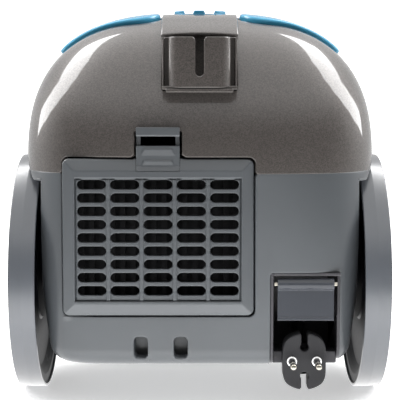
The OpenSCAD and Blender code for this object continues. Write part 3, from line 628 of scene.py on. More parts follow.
def plastic(name, colour, roughness, grain=2600, relief=0.00002, vary=0.08, wear=0.35, spread=0.03,
            **sockets):
    """Moulded plastic: fine grain, a faint cloudiness and slightly rubbed edges"""
    s = Surface(name, colour, roughness, **sockets)
    cloud = s.mix(s.spread(s.noise(14, 4), 0, 1), shade(colour, 1 - vary), shade(colour, 1 + vary))
    s.link(s.worn_edges(cloud, wear), s.shader.inputs["Base Color"])
    rough = s.spread(s.noise(240, 3), max(0.02, roughness - spread), roughness + spread, 0.1, 0.9)
    s.link(rough, s.shader.inputs["Roughness"])
    s.bump(s.noise(grain, 2), relief)
    return s.material


def flaked(name, colour, roughness, flake=1500, **sockets):
    """Glossy lacquer over fine metal flakes"""
    s = Surface(name, colour, roughness, **sockets)
    cells = s.node("ShaderNodeTexVoronoi")
    cells.inputs["Scale"].default_value = flake
    s.link(s.place, cells.inputs["Vector"])
    tone = s.node("ShaderNodeSeparateColor")
    s.link(cells.outputs["Color"], tone.inputs["Color"])
    speck = s.mix(s.spread(tone.outputs["Red"], 0, 1, 0, 1), shade(colour, 0.72), shade(colour, 1.38))
    cloud = s.mix(s.spread(s.noise(9, 3), 0, 0.16), speck, shade(colour, 0.7))
    s.link(s.worn_edges(cloud, 0.5), s.shader.inputs["Base Color"])
    gloss = s.spread(tone.outputs["Green"], roughness - 0.1, roughness + 0.1, 0, 1)
    s.link(gloss, s.shader.inputs["Roughness"])
    s.bump(tone.outputs["Blue"], 0.000004)
    s.bump(s.noise(40, 2), 0.00002)
    return s.material


def metal(name, colour, roughness, stretch=(60, 60, 900), relief=0.000006, **sockets):
    """Brushed, drawn or plated metal with fine lines and light tarnish"""
    s = Surface(name, colour, roughness, metallic=1.0, **sockets)
    scratches = s.noise(8, 4, stretch)
    tarnish = s.mix(s.spread(s.noise(35, 4), 0, 0.5), colour, shade(colour, 0.72))
    s.link(tarnish, s.shader.inputs["Base Color"])
    s.link(s.spread(scratches, roughness - 0.07, roughness + 0.1), s.shader.inputs["Roughness"])
    s.bump(scratches, relief)
    return s.material


def fibrous(name, colour, roughness, scale=900, relief=0.0002, vary=0.12, sheen=0.25):
    """Fleece, paper or card: matted fibres"""
    s = Surface(name, colour, roughness, Sheen_Weight=sheen)
    fibres = s.noise(scale, 8, (1, 1, 2.6))
    tone = s.mix(s.spread(fibres, 0, 1), shade(colour, 1 - vary), shade(colour, 1 + vary / 2))
    stain = s.mix(s.spread(s.noise(11, 3), 0, 0.25), tone, shade(colour, 0.8))
    s.link(stain, s.shader.inputs["Base Color"])
    s.link(s.spread(fibres, roughness - 0.1, roughness), s.shader.inputs["Roughness"])
    s.bump(fibres, relief)
    return s.material


def laminated(name, colour, scale):
    """Stacked sheets or wound wire seen edge on"""
    s = Surface(name, colour, 0.45, metallic=0.8)
    bands = s.node("ShaderNodeTexWave", wave_type="BANDS", bands_direction="DIAGONAL")
    bands.inputs["Scale"].default_value = scale
    bands.inputs["Distortion"].default_value = 1.5
    s.link(s.place, bands.inputs["Vector"])
    s.link(s.mix(bands.outputs["Fac"], shade(colour, 0.6), colour), s.shader.inputs["Base Color"])
    s.link(s.spread(s.noise(80, 3), 0.35, 0.6), s.shader.inputs["Roughness"])
    s.bump(bands.outputs["Fac"], 0.0001)
    return s.material


def look(kind, *values, **options):
    """Puts off making a material until its name is known"""
    return lambda name: kind(name, *values, **options)


LOOKS = {
    "grey_plastic": look(plastic, (0.060, 0.066, 0.072), 0.3, grain=2300, relief=0.000035, vary=0.06,
                         wear=0.5, Specular_IOR_Level=0.9),
    "hood_plastic": look(flaked, (0.072, 0.063, 0.058), 0.45, metallic=0.4, Coat_Weight=1.0,
                         Coat_Roughness=0.04, Coat_IOR=1.6),
    "blue_plastic": look(plastic, (0.050, 0.30, 0.48), 0.22, grain=900, relief=0.000006, vary=0.06,
                         Coat_Weight=0.3, Coat_Roughness=0.08),
    "black_plastic": look(plastic, (0.013, 0.013, 0.016), 0.45, grain=1900, relief=0.00003, wear=0.6,
                          Specular_IOR_Level=0.3),
    "tread": look(plastic, (0.070, 0.076, 0.087), 0.3, grain=1500, relief=0.000004, vary=0.03, wear=0.2,
                  spread=0.02, Coat_Weight=1.0, Coat_Roughness=0.22, Coat_IOR=1.7),
    "trim_plastic": look(plastic, (0.10, 0.104, 0.11), 0.3, grain=1500, Coat_Weight=0.3, Coat_Roughness=0.1),
    # A lighter copy of black plastic for the plug bay: painted light, so the shaded bay reads lighter than
    # black plastic elsewhere
    "bay_plastic": look(plastic, (0.040, 0.039, 0.044), 0.38, grain=1900, relief=0.00002),
    "roller_plastic": look(plastic, (0.03, 0.03, 0.033), 0.5, grain=1800, wear=0.8),
    "flap_plastic": look(plastic, (0.036, 0.039, 0.046), 0.08, grain=700, relief=0.000004, vary=0.05,
                         spread=0.03, Coat_Weight=0.3, Coat_Roughness=0.03),
    "steel": look(metal, (0.56, 0.56, 0.57), 0.3),
    "sheet_metal": look(metal, (0.66, 0.66, 0.67), 0.32, (300, 300, 300)),
    "motor_core": look(laminated, (0.20, 0.18, 0.17), 500),
    "copper": look(laminated, (0.62, 0.28, 0.12), 700),
    "rubber": look(plastic, (0.018, 0.018, 0.018), 0.75, grain=1300, relief=0.00006, vary=0.2),
    "cord_rubber": look(plastic, (0.016, 0.016, 0.018), 0.5, grain=2300, relief=0.00003, vary=0.12),
    "pin_metal": look(metal, (0.78, 0.74, 0.64), 0.2, (900, 60, 900)),
    "white_plastic": look(plastic, (0.90, 0.90, 0.89), 0.35, grain=1500, vary=0.03),
    "brake_plastic": look(plastic, (0.6, 0.13, 0.02), 0.45, grain=1500),
    "filter_fabric": look(fibrous, (0.006, 0.006, 0.007), 0.95, 1400, 0.0003, sheen=0.02),
    "bag_paper": look(fibrous, (0.72, 0.66, 0.55), 0.95, 700, 0.0004),
    "card": look(fibrous, (0.52, 0.38, 0.22), 0.9, 500, 0.0001),
    "circuit_board": look(plastic, (0.01, 0.12, 0.05), 0.35, grain=600, relief=0.00006, vary=0.3),
}
MATERIALS = {name: make(name) for name, make in LOOKS.items()}


def wear(piece, body, slot, *nodes, lit_copy=None):
    """Gives a new piece its material and its body, and hides the CAD nodes that it stands for"""
    piece.data.materials.clear()
    # A lighter copy given here stands in for the slot's material: painted light
    piece.data.materials.append(MATERIALS[lit_copy or slot])
    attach(piece, body)
    if nodes:
        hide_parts(*nodes)
    return piece


def dress_frame():
    """Procedural materials on every CAD node, by the record's slots"""
    for part in frame["record"]["subparts"]:
        node = frame["nodes"][part["node"]]
        for place in node.material_slots:
            place.material = MATERIALS[part["material_slot"]]


# -------- camera, light and floor

# Camera: focal length, upward shift, place in metres and tilt in degrees
LENS, LENS_SHIFT, EYE, LOOK_DOWN = 112.67, -0.1, (0.0, -1.147, 0.265), 4.2
FLOOR_GLOW, PANEL_GLOW, SKY_DIM = 0.45, 5.6, 0.08

# The light panels' plane: its height at the far edge, its slope and where the far edge lies along x
PANEL_FOOT, PANEL_SLOPE, PANEL_REACH = 0.3, 1.118, 1.3


def make_camera():
    """The photograph's view: level with the hood's top, nearly square on to the rear"""
    data = bpy.data.cameras.new("camera")
    data.sensor_width = 36
    data.lens = LENS
    data.shift_y = LENS_SHIFT
    camera = bpy.data.objects.new("camera", data)
    camera.location = EYE
    camera.rotation_euler = (math.radians(90 - LOOK_DOWN), 0, 0)
    bpy.context.scene.collection.objects.link(camera)
    bpy.context.scene.camera = camera


def area_light(name, place, target, size, power):
    """A rectangular light that neither the camera nor a reflection sees"""
    data = bpy.data.lights.new(name, "AREA")
    data.shape = "RECTANGLE"
    data.size, data.size_y = size
    data.energy = power
    light = bpy.data.objects.new(name, data)
    light.location = place
    light.rotation_euler = (Vector(target) - Vector(place)).to_track_quat("-Z", "Y").to_euler()
    light.visible_camera = light.visible_glossy = False
    bpy.context.scene.collection.objects.link(light)


def glowing(name, colour, strength):
    """A matt surface that gives off white light as well"""
    surface = Surface(name, colour, 0.9)
    surface.shader.inputs["Emission Color"].default_value = (1, 1, 1, 1)
    surface.shader.inputs["Emission Strength"].default_value = strength
    return surface


def make_studio():
    """Pale floor that sweeps up behind, a pale sky, a light panel on each side and a low light in front"""
    bpy.context.scene.view_settings.view_transform = "Standard"
    half_width, bend, start, top = 4.0, 0.9, 1.6, 3.5
    sweep = [(-3.0, 0.0), (start, 0.0)]
    for turn in np.linspace(0.1, math.pi / 2, 14):
        sweep.append((start + bend * math.sin(turn), bend - bend * math.cos(turn)))
    sweep.append((start + bend, top))
    points = [(x, y, z) for y, z in sweep for x in (-half_width, half_width)]
    faces = [(2 * i, 2 * i + 1, 2 * i + 3, 2 * i + 2) for i in range(len(sweep) - 1)]
    floor = new_piece("studio_floor", points, faces)
    for polygon in floor.data.polygons:
        polygon.use_smooth = True
    paper = glowing("studio_paper", (0.93, 0.93, 0.93), FLOOR_GLOW)
    paper.bump(paper.noise(30, 3), 0.0001)
    floor.data.materials.append(paper.material)
    floor.visible_glossy = False

    make_sky()
    for label, side in SIDES:
        light_panel(f"{label}_panel", side)
    area_light("foot_light", (0.0, -0.31, 0.004), (0.0, -0.31, 1.0), (0.5, 0.12), 1.1)
    area_light("key_light", (0.0, -0.42, 1.7), (0.0, -0.1, 0.2), (0.5, 0.3), 4)


def make_sky():
    """White for the camera; for light and reflections bright above and below, and dim behind the camera"""
    world = bpy.data.worlds.new("studio")
    bpy.context.scene.world = world
    world.use_nodes = True
    tree = world.node_tree

    def node(kind, *inputs, **values):
        made = tree.nodes.new(kind)
        for key, value in values.items():
            setattr(made, key, value)
        for socket, source in zip(made.inputs, inputs):
            if isinstance(source, float):
                socket.default_value = source
            else:
                tree.links.new(source, socket)
        return made.outputs[0]

    place = tree.nodes.new("ShaderNodeTexCoord").outputs["Generated"]
    parts = tree.nodes.new("ShaderNodeSeparateXYZ")
    tree.links.new(place, parts.inputs["Vector"])

    def ramp(axis, start, end, peak):
        """From dim to the peak as the view's direction along an axis goes from start to end"""
        return node("ShaderNodeMapRange", parts.outputs[axis], start, end, SKY_DIM, peak,
                    interpolation_type="SMOOTHSTEP")

    strength = tree.nodes.new("ShaderNodeLightPath").outputs["Is Camera Ray"]
    for glow in (ramp("Z", 0.2, 0.8, 1.15), ramp("Y", -0.85, 0.2, 0.7), ramp("Z", -0.1, -0.42, 1.7)):
        strength = node("ShaderNodeMath", glow, strength, operation="MAXIMUM")
    tree.links.new(strength, tree.nodes["Background"].inputs["Strength"])
    tree.nodes["Background"].inputs["Color"].default_value = (1, 1, 1, 1)


def light_panel(name, side):
    """Curved banner of light beside the object, on a plane that slants up and in over it"""
    outline = [(0.30, 0.95), (0.58, 0.70), (0.70, 0.38), (0.83, 0.12), (0.97, 0.20), (1.13, 0.47),
               (1.32, 0.50), (1.14, 0.0), (0.96, -0.24), (0.80, -0.31), (0.66, -0.25), (0.52, 0.0),
               (0.42, 0.5)]
    points = [(side * x, y, PANEL_FOOT + PANEL_SLOPE * (PANEL_REACH - x)) for x, y in outline]
    panel = new_piece(name, points, [tuple(range(len(points)))[::side]])
    panel.visible_camera = False
    panel.data.materials.append(glowing(name, (0.9, 0.9, 0.9), PANEL_GLOW).material)


# -------- free cord


def make_cord():
    """The short stretch of cord outside the body, between the bay's wall and the plug"""
    data = bpy.data.curves.new("mains_cord", "CURVE")
    data.dimensions = "3D"
    data.bevel_depth = CORD_R * MM
    data.bevel_resolution = 6
    data.use_fill_caps = True
    line = data.splines.new("BEZIER")
    line.bezier_points.add(len(TAIL) - 1)
    for knot, (y, z) in zip(line.bezier_points, TAIL):
        knot.co = (CORD_X * MM, y * MM, z * MM)
        knot.handle_left_type = knot.handle_right_type = "AUTO"
    line.resolution_u = 6
    piece = bpy.data.objects.new("mains_cord", data)
    bpy.context.scene.collection.objects.link(piece)
    return wear(piece, "chassis", "cord_rubber", "cord_tail")


# -------- body shells


def well_shape(y, z):
    """Distance to the wheel wells' side view, negative inside"""
    straight = most(y - AXLE_Y, z - WELL_TOP, 60 - z)
    return np.minimum(from_disc(y, z, (AXLE_Y, WHEEL_R), WELL_R), straight)


def clear_of_wells(p):
    """How far points lie from the wheel wells"""
    return np.maximum(well_shape(p[:, 1], p[:, 2]), WELL_X - np.abs(p[:, 0]))


def grille_opening(p):
    """Distance to the opening that the grille and its latch sit in, negative inside it"""
    x, y, z = p.T
    middle = (grille_low + grille_high) / 2
    size = grille_high - grille_low + 2 * GRILLE_GAP
    frame_hole = from_box(x, z, middle[[0, 2]], size[[0, 2]], 4.5)
    notch = from_box(x, z, (LATCH_X, 193.8), (latch_high[0] - latch_low[0] + 3.4, 47.6), 1)
    return np.maximum(np.minimum(frame_hole, notch), y - REAR_ONLY)


def lower_keep(p):
    """The lower body: up to the seam, less wells, grille, plug bay, vents and the catch's window"""
    x, y, z = p.T
    bay_middle, bay_half = (bay_low[0] + bay_high[0]) / 2, (bay_high[0] - bay_low[0]) / 2
    bay = most(np.abs(x - bay_middle) - bay_half, z - bay_high[2], y + 125.6)
    vents = [np.maximum(from_box(x, z, (vent, VENT_Z), VENT_SIZE, 3), y - REAR_ONLY) for vent in VENTS]
    catch = most(np.abs(x) - CATCH_HALF, CATCH_SILL - z, CATCH_FRONT - y)
    below_seam = SEAM_Z - PART_GAP - z + ROLL
    return least(below_seam, clear_of_wells(p), grille_opening(p), bay, *vents, catch)


def hood_keep(p):
    """The hood: from the seam up and back from the lid, less wells, latch, pedals, dial and bracket"""
    x, y, z = p.T
    pedals = [np.maximum(from_pedal(x, y, side) - PEDAL_GAP, 230 - z) for _, side in PEDALS]
    dial = np.maximum(from_disc(x, y, (0, KNOB_Y), 6.3), 280 - z)
    pocket = np.maximum(from_box(x, z, (BRACKET_X, 270.2), (57.6, 44.4), 0.8), y - REAR_ONLY)
    above_seam = z - SEAM_Z - PART_GAP + ROLL
    return least(above_seam, HOOD_EDGE - y, clear_of_wells(p), grille_opening(p), *pedals, dial, pocket)


def lid_keep(p):
    """The lid: from the seam up and forward from the hood, less the catch's window and the hose inlet"""
    x, y, z = p.T
    catch = most(np.abs(x) - CATCH_HALF, z - CATCH_HEAD, CATCH_FRONT - y)
    inlet = np.hypot(x, (y - 125 - (z - 195)) * math.sqrt(0.5)) - 22.5
    return least(z - SEAM_Z - PART_GAP + ROLL / 2, y - LID_EDGE, catch, inlet)


def square_rim(piece):
    """Brings the inner rim at the foot of the grille's opening back in line with its outer edge, so
    that the cover can swing past it"""
    low, high = grille_low - GRILLE_GAP, grille_high + GRILLE_GAP
    for vertex in piece.data.vertices:
        x, y, z = vertex.co / MM
        if not (-200.4 < y < -197 and 74 < z < 84 and low[0] - 1.1 < x < high[0] + 1.1):
            continue
        if x < low[0] + 4.9:
            vertex.co.x = min(x, low[0]) * MM
        elif x > high[0] - 4.9:
            vertex.co.x = max(x, high[0]) * MM
        elif low[2] < z < low[2] + 3.7:
            vertex.co.z = (low[2] - 0.1) * MM


def make_shells():
    """Lower body, hood and lid"""
    lower = skin("lower_body_skin", lower_point, lower_keep, ROUND, LOWER_ROWS, WALL, ROLL, wrap=True)
    square_rim(lower)
    wear(lower, "chassis", "grey_plastic", "lower_shell")
    for name, keep, body, node in (("hood_skin", hood_keep, "chassis", "hood"),
                                   ("lid_skin", lid_keep, "lid", "dust_lid")):
        upper = skin(name, upper_point, keep, ROUND, UPPER_ROWS, WALL, ROLL, wrap=True)
        wear(upper, body, "hood_plastic", node)


def make_vent_backs():
    """Shallow trays behind the two vents"""
    trays = []
    for x in VENTS:
        back = rear_y(x, 50) + 15
        trays.append(block("vent_back", (x - 7, back, 40), (x + 7, back + 1.5, 61.5), 0.4))
        for side in (-1, 1):
            near, far = apart(x, side, 5.4, 7)
            trays.append(block("vent_side", (near, back - 12.4, 40), (far, back + 1, 61.5), 0.4))
    wear(joined("vent_trays", trays), "chassis", "grey_plastic")


def make_well_liners():
    """The walls behind each wheel: a flat one beside it and a curved one over it"""
    join = math.sqrt(WELL_R**2 - (WELL_TOP - WHEEL_R) ** 2)
    start = math.atan2(WELL_TOP - WHEEL_R, -join)
    arc = [(AXLE_Y + WELL_R * math.cos(turn), WHEEL_R + WELL_R * math.sin(turn))
           for turn in np.linspace(start, -1.0, 110)]
    path = np.array([(y, WELL_TOP) for y in np.linspace(-215, AXLE_Y - join, 30)[:-1]] + arc)
    run = np.concatenate([[0], np.cumsum(np.hypot(*np.diff(path, axis=0).T))])
    for label, side in SIDES:
        def arch(u, v, g):
            y, z = np.interp(u, run, path[:, 0]), np.interp(u, run, path[:, 1])
            return np.stack([side * v, y + (y - AXLE_Y) * g / -WELL_R, z + (z - WHEEL_R) * g / -WELL_R], -1)

        us, vs = np.linspace(0, run[-1], 190), lines([WELL_X - 1, 142], 1.5)
        over = skin(f"{label}_arch", arch, lambda p: inside(p, -0.4), us[::-side], vs, 2, 0.3)

        def flat(u, v, g):
            return np.stack([side * (WELL_X + g) + 0 * u, u, v], -1)

        def flat_keep(p):
            return np.minimum(inside(p, -0.6), 0.3 - well_shape(p[:, 1], p[:, 2]))

        us = lines([-215, 5], 2.2)
        wall = skin(f"{label}_side", flat, flat_keep, us[::side], lines([36, 201], 2.2), 2, 0.3)
        rim = [(-1, 6.3), (3, 6.3), (3, 12.4), (2.6, 13), (-1, 13)]
        boss = lathe(f"{label}_boss", rim, (side * WELL_X, AXLE_Y, WHEEL_R), side, 64)
        wear(joined(f"{label}_wheel_well", [over, wall, boss]), "chassis", "grey_plastic")


# -------- grille and its latch


def make_grille():
    """A picture-frame cover: sloping band, sunk field of slots, raised ribs between the columns"""
    low, high = grille_low, grille_high
    mx, mz = (low[0] + high[0]) / 2, (low[2] + high[2]) / 2
    w, h = high[0] - low[0], high[2] - low[2]
    columns, rows, pitch_x, pitch_z, slot_w, slot_h = 5, 9, 25.25, 10.14, 21.7, 7.3
    field_w, field_h, field_z = 126.6, 94.2, mz - 1.6
    sink, slope, rib_half, rib_rise, groove_w, groove_depth = 1.7, 0.25, 1.6, 1.2, 1.1, 0.9
    ribs = [mx + (i - (columns - 2) / 2) * pitch_x for i in range(columns - 1)]
    latch_half = (latch_high[0] - latch_low[0]) / 2 + 0.2

    def slot_distance(x, z):
        last_x, last_z = columns // 2, rows // 2
        nearest_x = np.clip(np.round((x - mx) / pitch_x), -last_x, last_x) * pitch_x + mx
        nearest_z = np.clip(np.round((z - mz) / pitch_z), -last_z, last_z) * pitch_z + mz
        return from_box(x, z, (nearest_x, nearest_z), (slot_w, slot_h), slot_h / 2)

    def notch(x, z):
        return np.maximum(np.abs(x - LATCH_X) - latch_half, LATCH_FOOT - 0.35 - z)

    def keep(x, z):
        return least(-from_box(x, z, (mx, mz), (w, h), 5.5), slot_distance(x, z), notch(x, z))

    def roll(p):
        x, z = p[:, 0], p[:, 2]
        small = np.where(slot_distance(x, z) < 1.6, 0.35, 0.9)
        return np.where(notch(x, z) < 1.2, 0.1, small)

    def height(x, z):
        inward = np.minimum(w / 2 - np.abs(x - mx), h / 2 - np.abs(z - mz))
        fall = BAND_DROP * (1 - np.clip(inward / BAND, 0, 1))
        field = from_box(x, z, (mx, field_z), (field_w, field_h), 0.01)
        sunk = np.clip(-field / slope, 0, 1)
        fall = fall + sink * sunk
        for rib in ribs:
            fall = fall - rib_rise * sunk * np.clip((rib_half - np.abs(x - rib)) / slope, 0, 1)
        groove = np.clip((groove_w + field) / 0.2, 0, 1) * (field < -0.1)
        return fall + groove_depth * groove

    def border_lines(start, end, middle, half):
        """Grid lines along both sides of the cover's edge, its band and its groove"""
        steps = [half - d for d in (0.0, slope, groove_depth, groove_w)]
        out = [start, start + 1, start + BAND, end - BAND, end - 1, end]
        return out + [middle + side * step for side in (-1, 1) for step in steps]

    us = border_lines(low[0], high[0], mx, field_w / 2) + [LATCH_X - latch_half, LATCH_X + latch_half]
    us += [rib + side * d for rib in ribs for side in (-1, 1) for d in (rib_half, rib_half - slope)]
    vs = border_lines(low[2], high[2], field_z, field_h / 2)
    us, vs = lines(sorted(us), 0.85), lines(sorted(vs), 0.85)
    cover = plate("grille_front", keep, us, vs, ("rear", low[1]), 5.0, roll, height, steps=2)
    ears = []
    for x in (mx - 50, mx + 50):
        ears.append(rod("ear_pin", (x - 3.4, HINGE_Y, HINGE_Z), (x + 3.4, HINGE_Y, HINGE_Z), 1.5, 0.2, 24))
        for side in (-1, 1):
            near, far = apart(x, side, 3, 5)
            foot, top = (near, HINGE_Y - 2.9, HINGE_Z - 3.1), (far, HINGE_Y + 2.7, HINGE_Z + 3.9)
            ears.append(block("ear", foot, top, 0.3))
    wear(joined("exhaust_grille", [cover, *ears]), "grille", "grey_plastic", "grille_cover")


def make_latch():
    """Springy tab: a stepped plate that runs down into the frame's band, two posts and a finger bar"""
    low, high = latch_low, latch_high
    face, top_edge = grille_low[1], grille_high[2]
    half_w, steps, step_rise = 16.5, (204.0, 195.2), 0.55

    def keep(x, z):
        middle = (LATCH_X, (LATCH_FOOT + LATCH_TOP) / 2)
        return -from_box(x, z, middle, (2 * half_w, LATCH_TOP - LATCH_FOOT), 0.3)

    def roll(p):
        return np.where(p[:, 2] < top_edge, 0.1, 0.5)

    def height(x, z):
        sunk = np.minimum(1.6, BAND_DROP * (1 - (top_edge - z) / BAND))
        for step in steps:
            side = np.clip((11 + (step - z) * 0.5 - np.abs(x - LATCH_X)) / 0.6, 0, 1)
            start, end = np.clip((step + 0.6 - z) / 0.6, 0, 1), np.clip((z - step + 5) / 4.6, 0, 1)
            sunk = sunk - step_rise * side * start * end
        return sunk

    us = lines([LATCH_X + d for d in (-half_w, -15.7, -14.2, -11, 11, 14.2, 15.7, half_w)], 0.7)
    vs = lines([LATCH_FOOT, 188, 190.2, 194.8, 195.3, 195.8, 199, 203.6, 204.1, 204.6, 205.8, LATCH_TOP], 0.6)
    parts = [plate("latch_tab", keep, us, vs, ("rear", face), 3.2, roll, height)]
    parts.append(block("latch_bar", (low[0], low[1], 214.2), (high[0], face + 2.8, high[2]), 0.8, 4))
    for side in (-1, 1):
        near, far = apart(LATCH_X, side, 13.2, 16.4)
        parts.append(block("latch_post", (near, high[1] - 1.3, 204.4), (far, high[1], 217.2), 0.4))
    parts.append(block("latch_sill", (low[0], face + 1.9, 204.2), (high[0], face + 5.4, 206.2), 0.4))
    parts.append(block("latch_head", (low[0], face + 1.8, 213.6), (high[0], high[1], 216.7), 0.4))
    wear(joined("grille_latch_tab", parts), "grille_tab", "grey_plastic", "grille_latch")


# -------- parking bracket


def make_bracket():
    """Slotted plate with rounded corners in a sunk pocket, under a band that runs to the dial"""
    x0, face, floor_z, top_z = BRACKET_X, bracket_low[1], 250.3, 288.4
    half, corner, thick, band_half = 23.5, 9.0, 3.0, 30.8
    slot_half, slot_foot, flare_foot, flare_size = 3.2, 262, 284.5, 3.0
    straight, side_run = 2 * (half - corner), 2.0
    arc = math.pi / 2 * corner
    total = 2 * side_run + 2 * arc + straight

    def plan(u, g):
        r = corner + g
        turn_a = np.clip((u - side_run) / arc, 0, 1) * math.pi / 2
        turn_b = np.clip((u - side_run - arc - straight) / arc, 0, 1) * math.pi / 2
        run_a = np.clip(u, 0, side_run)
        run_m = np.clip(u - side_run - arc, 0, straight)
        run_b = np.clip(u - total + side_run, 0, side_run)
        x = x0 - half + corner - r * np.cos(turn_a) * (u < side_run + arc + straight / 2)
        x = np.where(u < side_run + arc, x, x0 - half + corner + run_m)
        x = np.where(u > side_run + arc + straight, x0 + half - corner + r * np.sin(turn_b), x)
        y_a = face + corner - r * np.sin(turn_a) + (side_run - run_a)
        y_b = face + corner - r * np.cos(turn_b) + run_b
        return x, np.where(u > total / 2, y_b, y_a)

    def wall_point(u, v, g):
        x, y = plan(u, g)
        return np.stack([x, y, v], -1)

    def wall_keep(p):
        x, y, z = p.T
        slot = np.hypot(x - x0, np.minimum(z - slot_foot, 0)) - slot_half
        flare = np.clip((z - flare_foot) / 5, 0, 1) ** 2 * flare_size
        slot = np.where(y < face + 4, slot - flare, 9.0)
        return least(slot, z - floor_z, top_z - z)

    us = [0, side_run, side_run + arc, total / 2 - 4]
    us = lines(us + [total - u for u in reversed(us)], 0.8)
    parts = [skin("bracket_front", wall_point, wall_keep, us, lines([floor_z, top_z], 1.0), thick, 0.6)]
    parts.append(block("bracket_floor", (x0 - 28.4, face + 2.4, 248.8), (x0 + 28.4, -158, 251.6), 0.5))
    parts.append(block("bracket_lip", (x0 - 25.4, face + 0.5, 246.8), (x0 + 25.4, -188, 249.6), 0.7))
    for side in (-1, 1):
        for near, far, front in ((27.0, 28.4, -197), (20.6, 27.2, -183)):
            left, right = apart(x0, side, near, far)
            parts.append(block("bracket_cheek", (left, front, 250), (right, -138, 288.6), 0.6))
    parts.append(block("bracket_back", (x0 - 28.4, -140, 250), (x0 + 28.4, -136, 294), 0.8))

    def band_keep(p):
        x, y, z = p.T
        arch = 290.4 + 1.7 * (1 - ((x - x0) / band_half) ** 2)
        return least(band_half - np.abs(x - x0), z - arch, -101 - y)

    def band_point(u, v, g):
        return upper_point(u, v, g + 3)

    us = ROUND[(ROUND > math.radians(195)) & (ROUND < math.radians(345))]
    parts.append(skin("bracket_band", band_point, band_keep, us, np.linspace(0.3, 0.93, 150), 4, 1.3))
    wear(joined("parking_socket", parts), "chassis", "hood_plastic", "parking_bracket")


# -------- pedals and dial


def make_pedals():
    """Two teardrop caps that follow the hood's curve, each on its stem"""
    def cap_point(u, v, g):
        return upper_point(u, v, g + PEDAL_LIFT)

    for label, side in PEDALS:
        def keep(p):
            return np.minimum(-from_pedal(p[:, 0], p[:, 1], side), p[:, 2] - 230)

        us = np.linspace(*np.radians((170, 250) if side < 0 else (290, 370)), 120)
        cap = skin(f"{label}_top", cap_point, keep, us, np.linspace(0.35, 0.97, 110), 9, 2.2, steps=5)
        x, y = side * PEDAL_STEM[0], PEDAL_STEM[1]
        stem = rod(f"{label}_stem", (x, y, box(f"{label}_pedal")[0][2]), (x, y, 289), 4, 0.5)
        wear(joined(f"{label}_foot_pedal", [cap, stem]), f"{label}_pedal", "blue_plastic", f"{label}_pedal")


def make_springs():
    """The coils under the pedals"""
    turns, wire, coil, steps, corners = 5, 0.7, 6.5, 240, 12
    for label, _ in PEDALS:
        low, high = box(f"{label}_pedal_spring")
        foot = np.array([*(low + high)[:2] / 2, low[2]])
        turn = np.linspace(0, 2 * math.pi * turns, steps)[:, None]
        ring = np.linspace(0, 2 * math.pi, corners, endpoint=False)
        reach = coil + wire * np.cos(ring)
        rise = np.linspace(wire, high[2] - low[2] - wire, steps)[:, None] + wire * np.sin(ring)
        points = foot + np.stack([reach * np.cos(turn), reach * np.sin(turn), rise], -1)
        index = np.arange(steps * corners).reshape(steps, corners)
        faces = [cells_between(index), index[:1, ::-1], index[-1:]]
        spring = solid(f"{label}_spring", points.reshape(-1, 3), faces)
        wear(spring, "chassis", "steel", f"{label}_pedal_spring")
        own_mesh(spring)


def make_dial():
    """Power dial: a low disc with three raised blocks"""
    top = knob_high[2]

    def keep(x, y, radius=21.8):
        return radius - np.hypot(x, y - KNOB_Y)

    def height(x, y):
        sunk = 0.0 * x
        for middle, half in ((-9.2, 3.9), (7.9, 4.1)):
            sunk = np.maximum(sunk, 2.7 * ease((half + 0.35 - np.abs(x - middle)) / 0.7))
        return sunk + 0.5 * (np.hypot(x, y - KNOB_Y) / 22) ** 2

    def skirt_keep(x, y):
        return keep(x, y, 22.5)

    us = lines([-22.5, -13.8, -12.6, -5.9, -4.7, 3.2, 4.4, 11.4, 12.6, 22.5], 0.7)
    vs = lines([KNOB_Y - 22.5, KNOB_Y + 22.5], 0.7)
    face = plate("dial_face", keep, us, vs, ("up", top), 3.6, 0.7, height)
    us, vs = lines([-23, 23], 1), lines([KNOB_Y - 23, KNOB_Y + 23], 1)
    skirt = plate("dial_skirt", skirt_keep, us, vs, ("up", 310.2), 1.1, 0.4)
    stem = rod("dial_stem", (0, KNOB_Y, knob_low[2]), (0, KNOB_Y, 309.6), 3, 0.3)
    wear(joined("power_dial", [face, skirt, stem]), "power_knob", "blue_plastic", "power_knob")


# -------- plug bay, flap and plug


def make_bay():
    """The plug bay's liner: cheeks cut to the body's rear, roof, back wall, floor, steps and outlet"""
    low, high = bay_low, bay_high
    thick, foot = 2.4, UNDER_Z + 0.4

    def cheek(x, x0, x1):
        edge = [(rear_y(x, z, -0.5), z) for z in np.linspace(high[2], foot, 30)]
        return slab("bay_cheek", [(high[1], high[2]), *edge, (high[1], foot)], x0, x1)

    parts = [cheek(low[0] + 1, low[0] + 0.1, low[0] + thick)]
    parts.append(cheek(high[0] - 1, high[0] - thick, high[0] - 0.1))
    for name, start, end in (
            ("bay_roof", (low[0] + 0.1, -200.6, high[2] - thick), (high[0] - 0.1, high[1], high[2] - 0.1)),
            ("bay_wall", (low[0] + 0.2, high[1] - thick, foot), (high[0] - 0.2, high[1], high[2] - 0.2)),
            ("bay_floor", (low[0] + 1, -178, foot), (high[0] - 1, high[1] - 1, UNDER_Z + 2.6))):
        parts.append(block(name, start, end, 0.5))
    for near, far in ((low[0] + thick - 0.2, low[0] + 14.6), (high[0] - 14.6, high[0] - thick + 0.2)):
        parts.append(block("bay_step", (near, -189, UNDER_Z + 0.6), (far, -175, UNDER_Z + 10), 1.2))
    ring = [(-1.0, 4.3), (-3.0, 4.6), (-3.0, 6.4), (1.0, 7.0)]
    parts.append(lathe_y("bay_outlet", ring, (CORD_X, high[1] - thick, TAIL[0][1])))
    # The liner wears a lighter copy of black plastic: painted light in the shaded bay
    wear(joined("plug_bay_liner", parts), "chassis", "black_plastic", "plug_bay", lit_copy="bay_plastic")


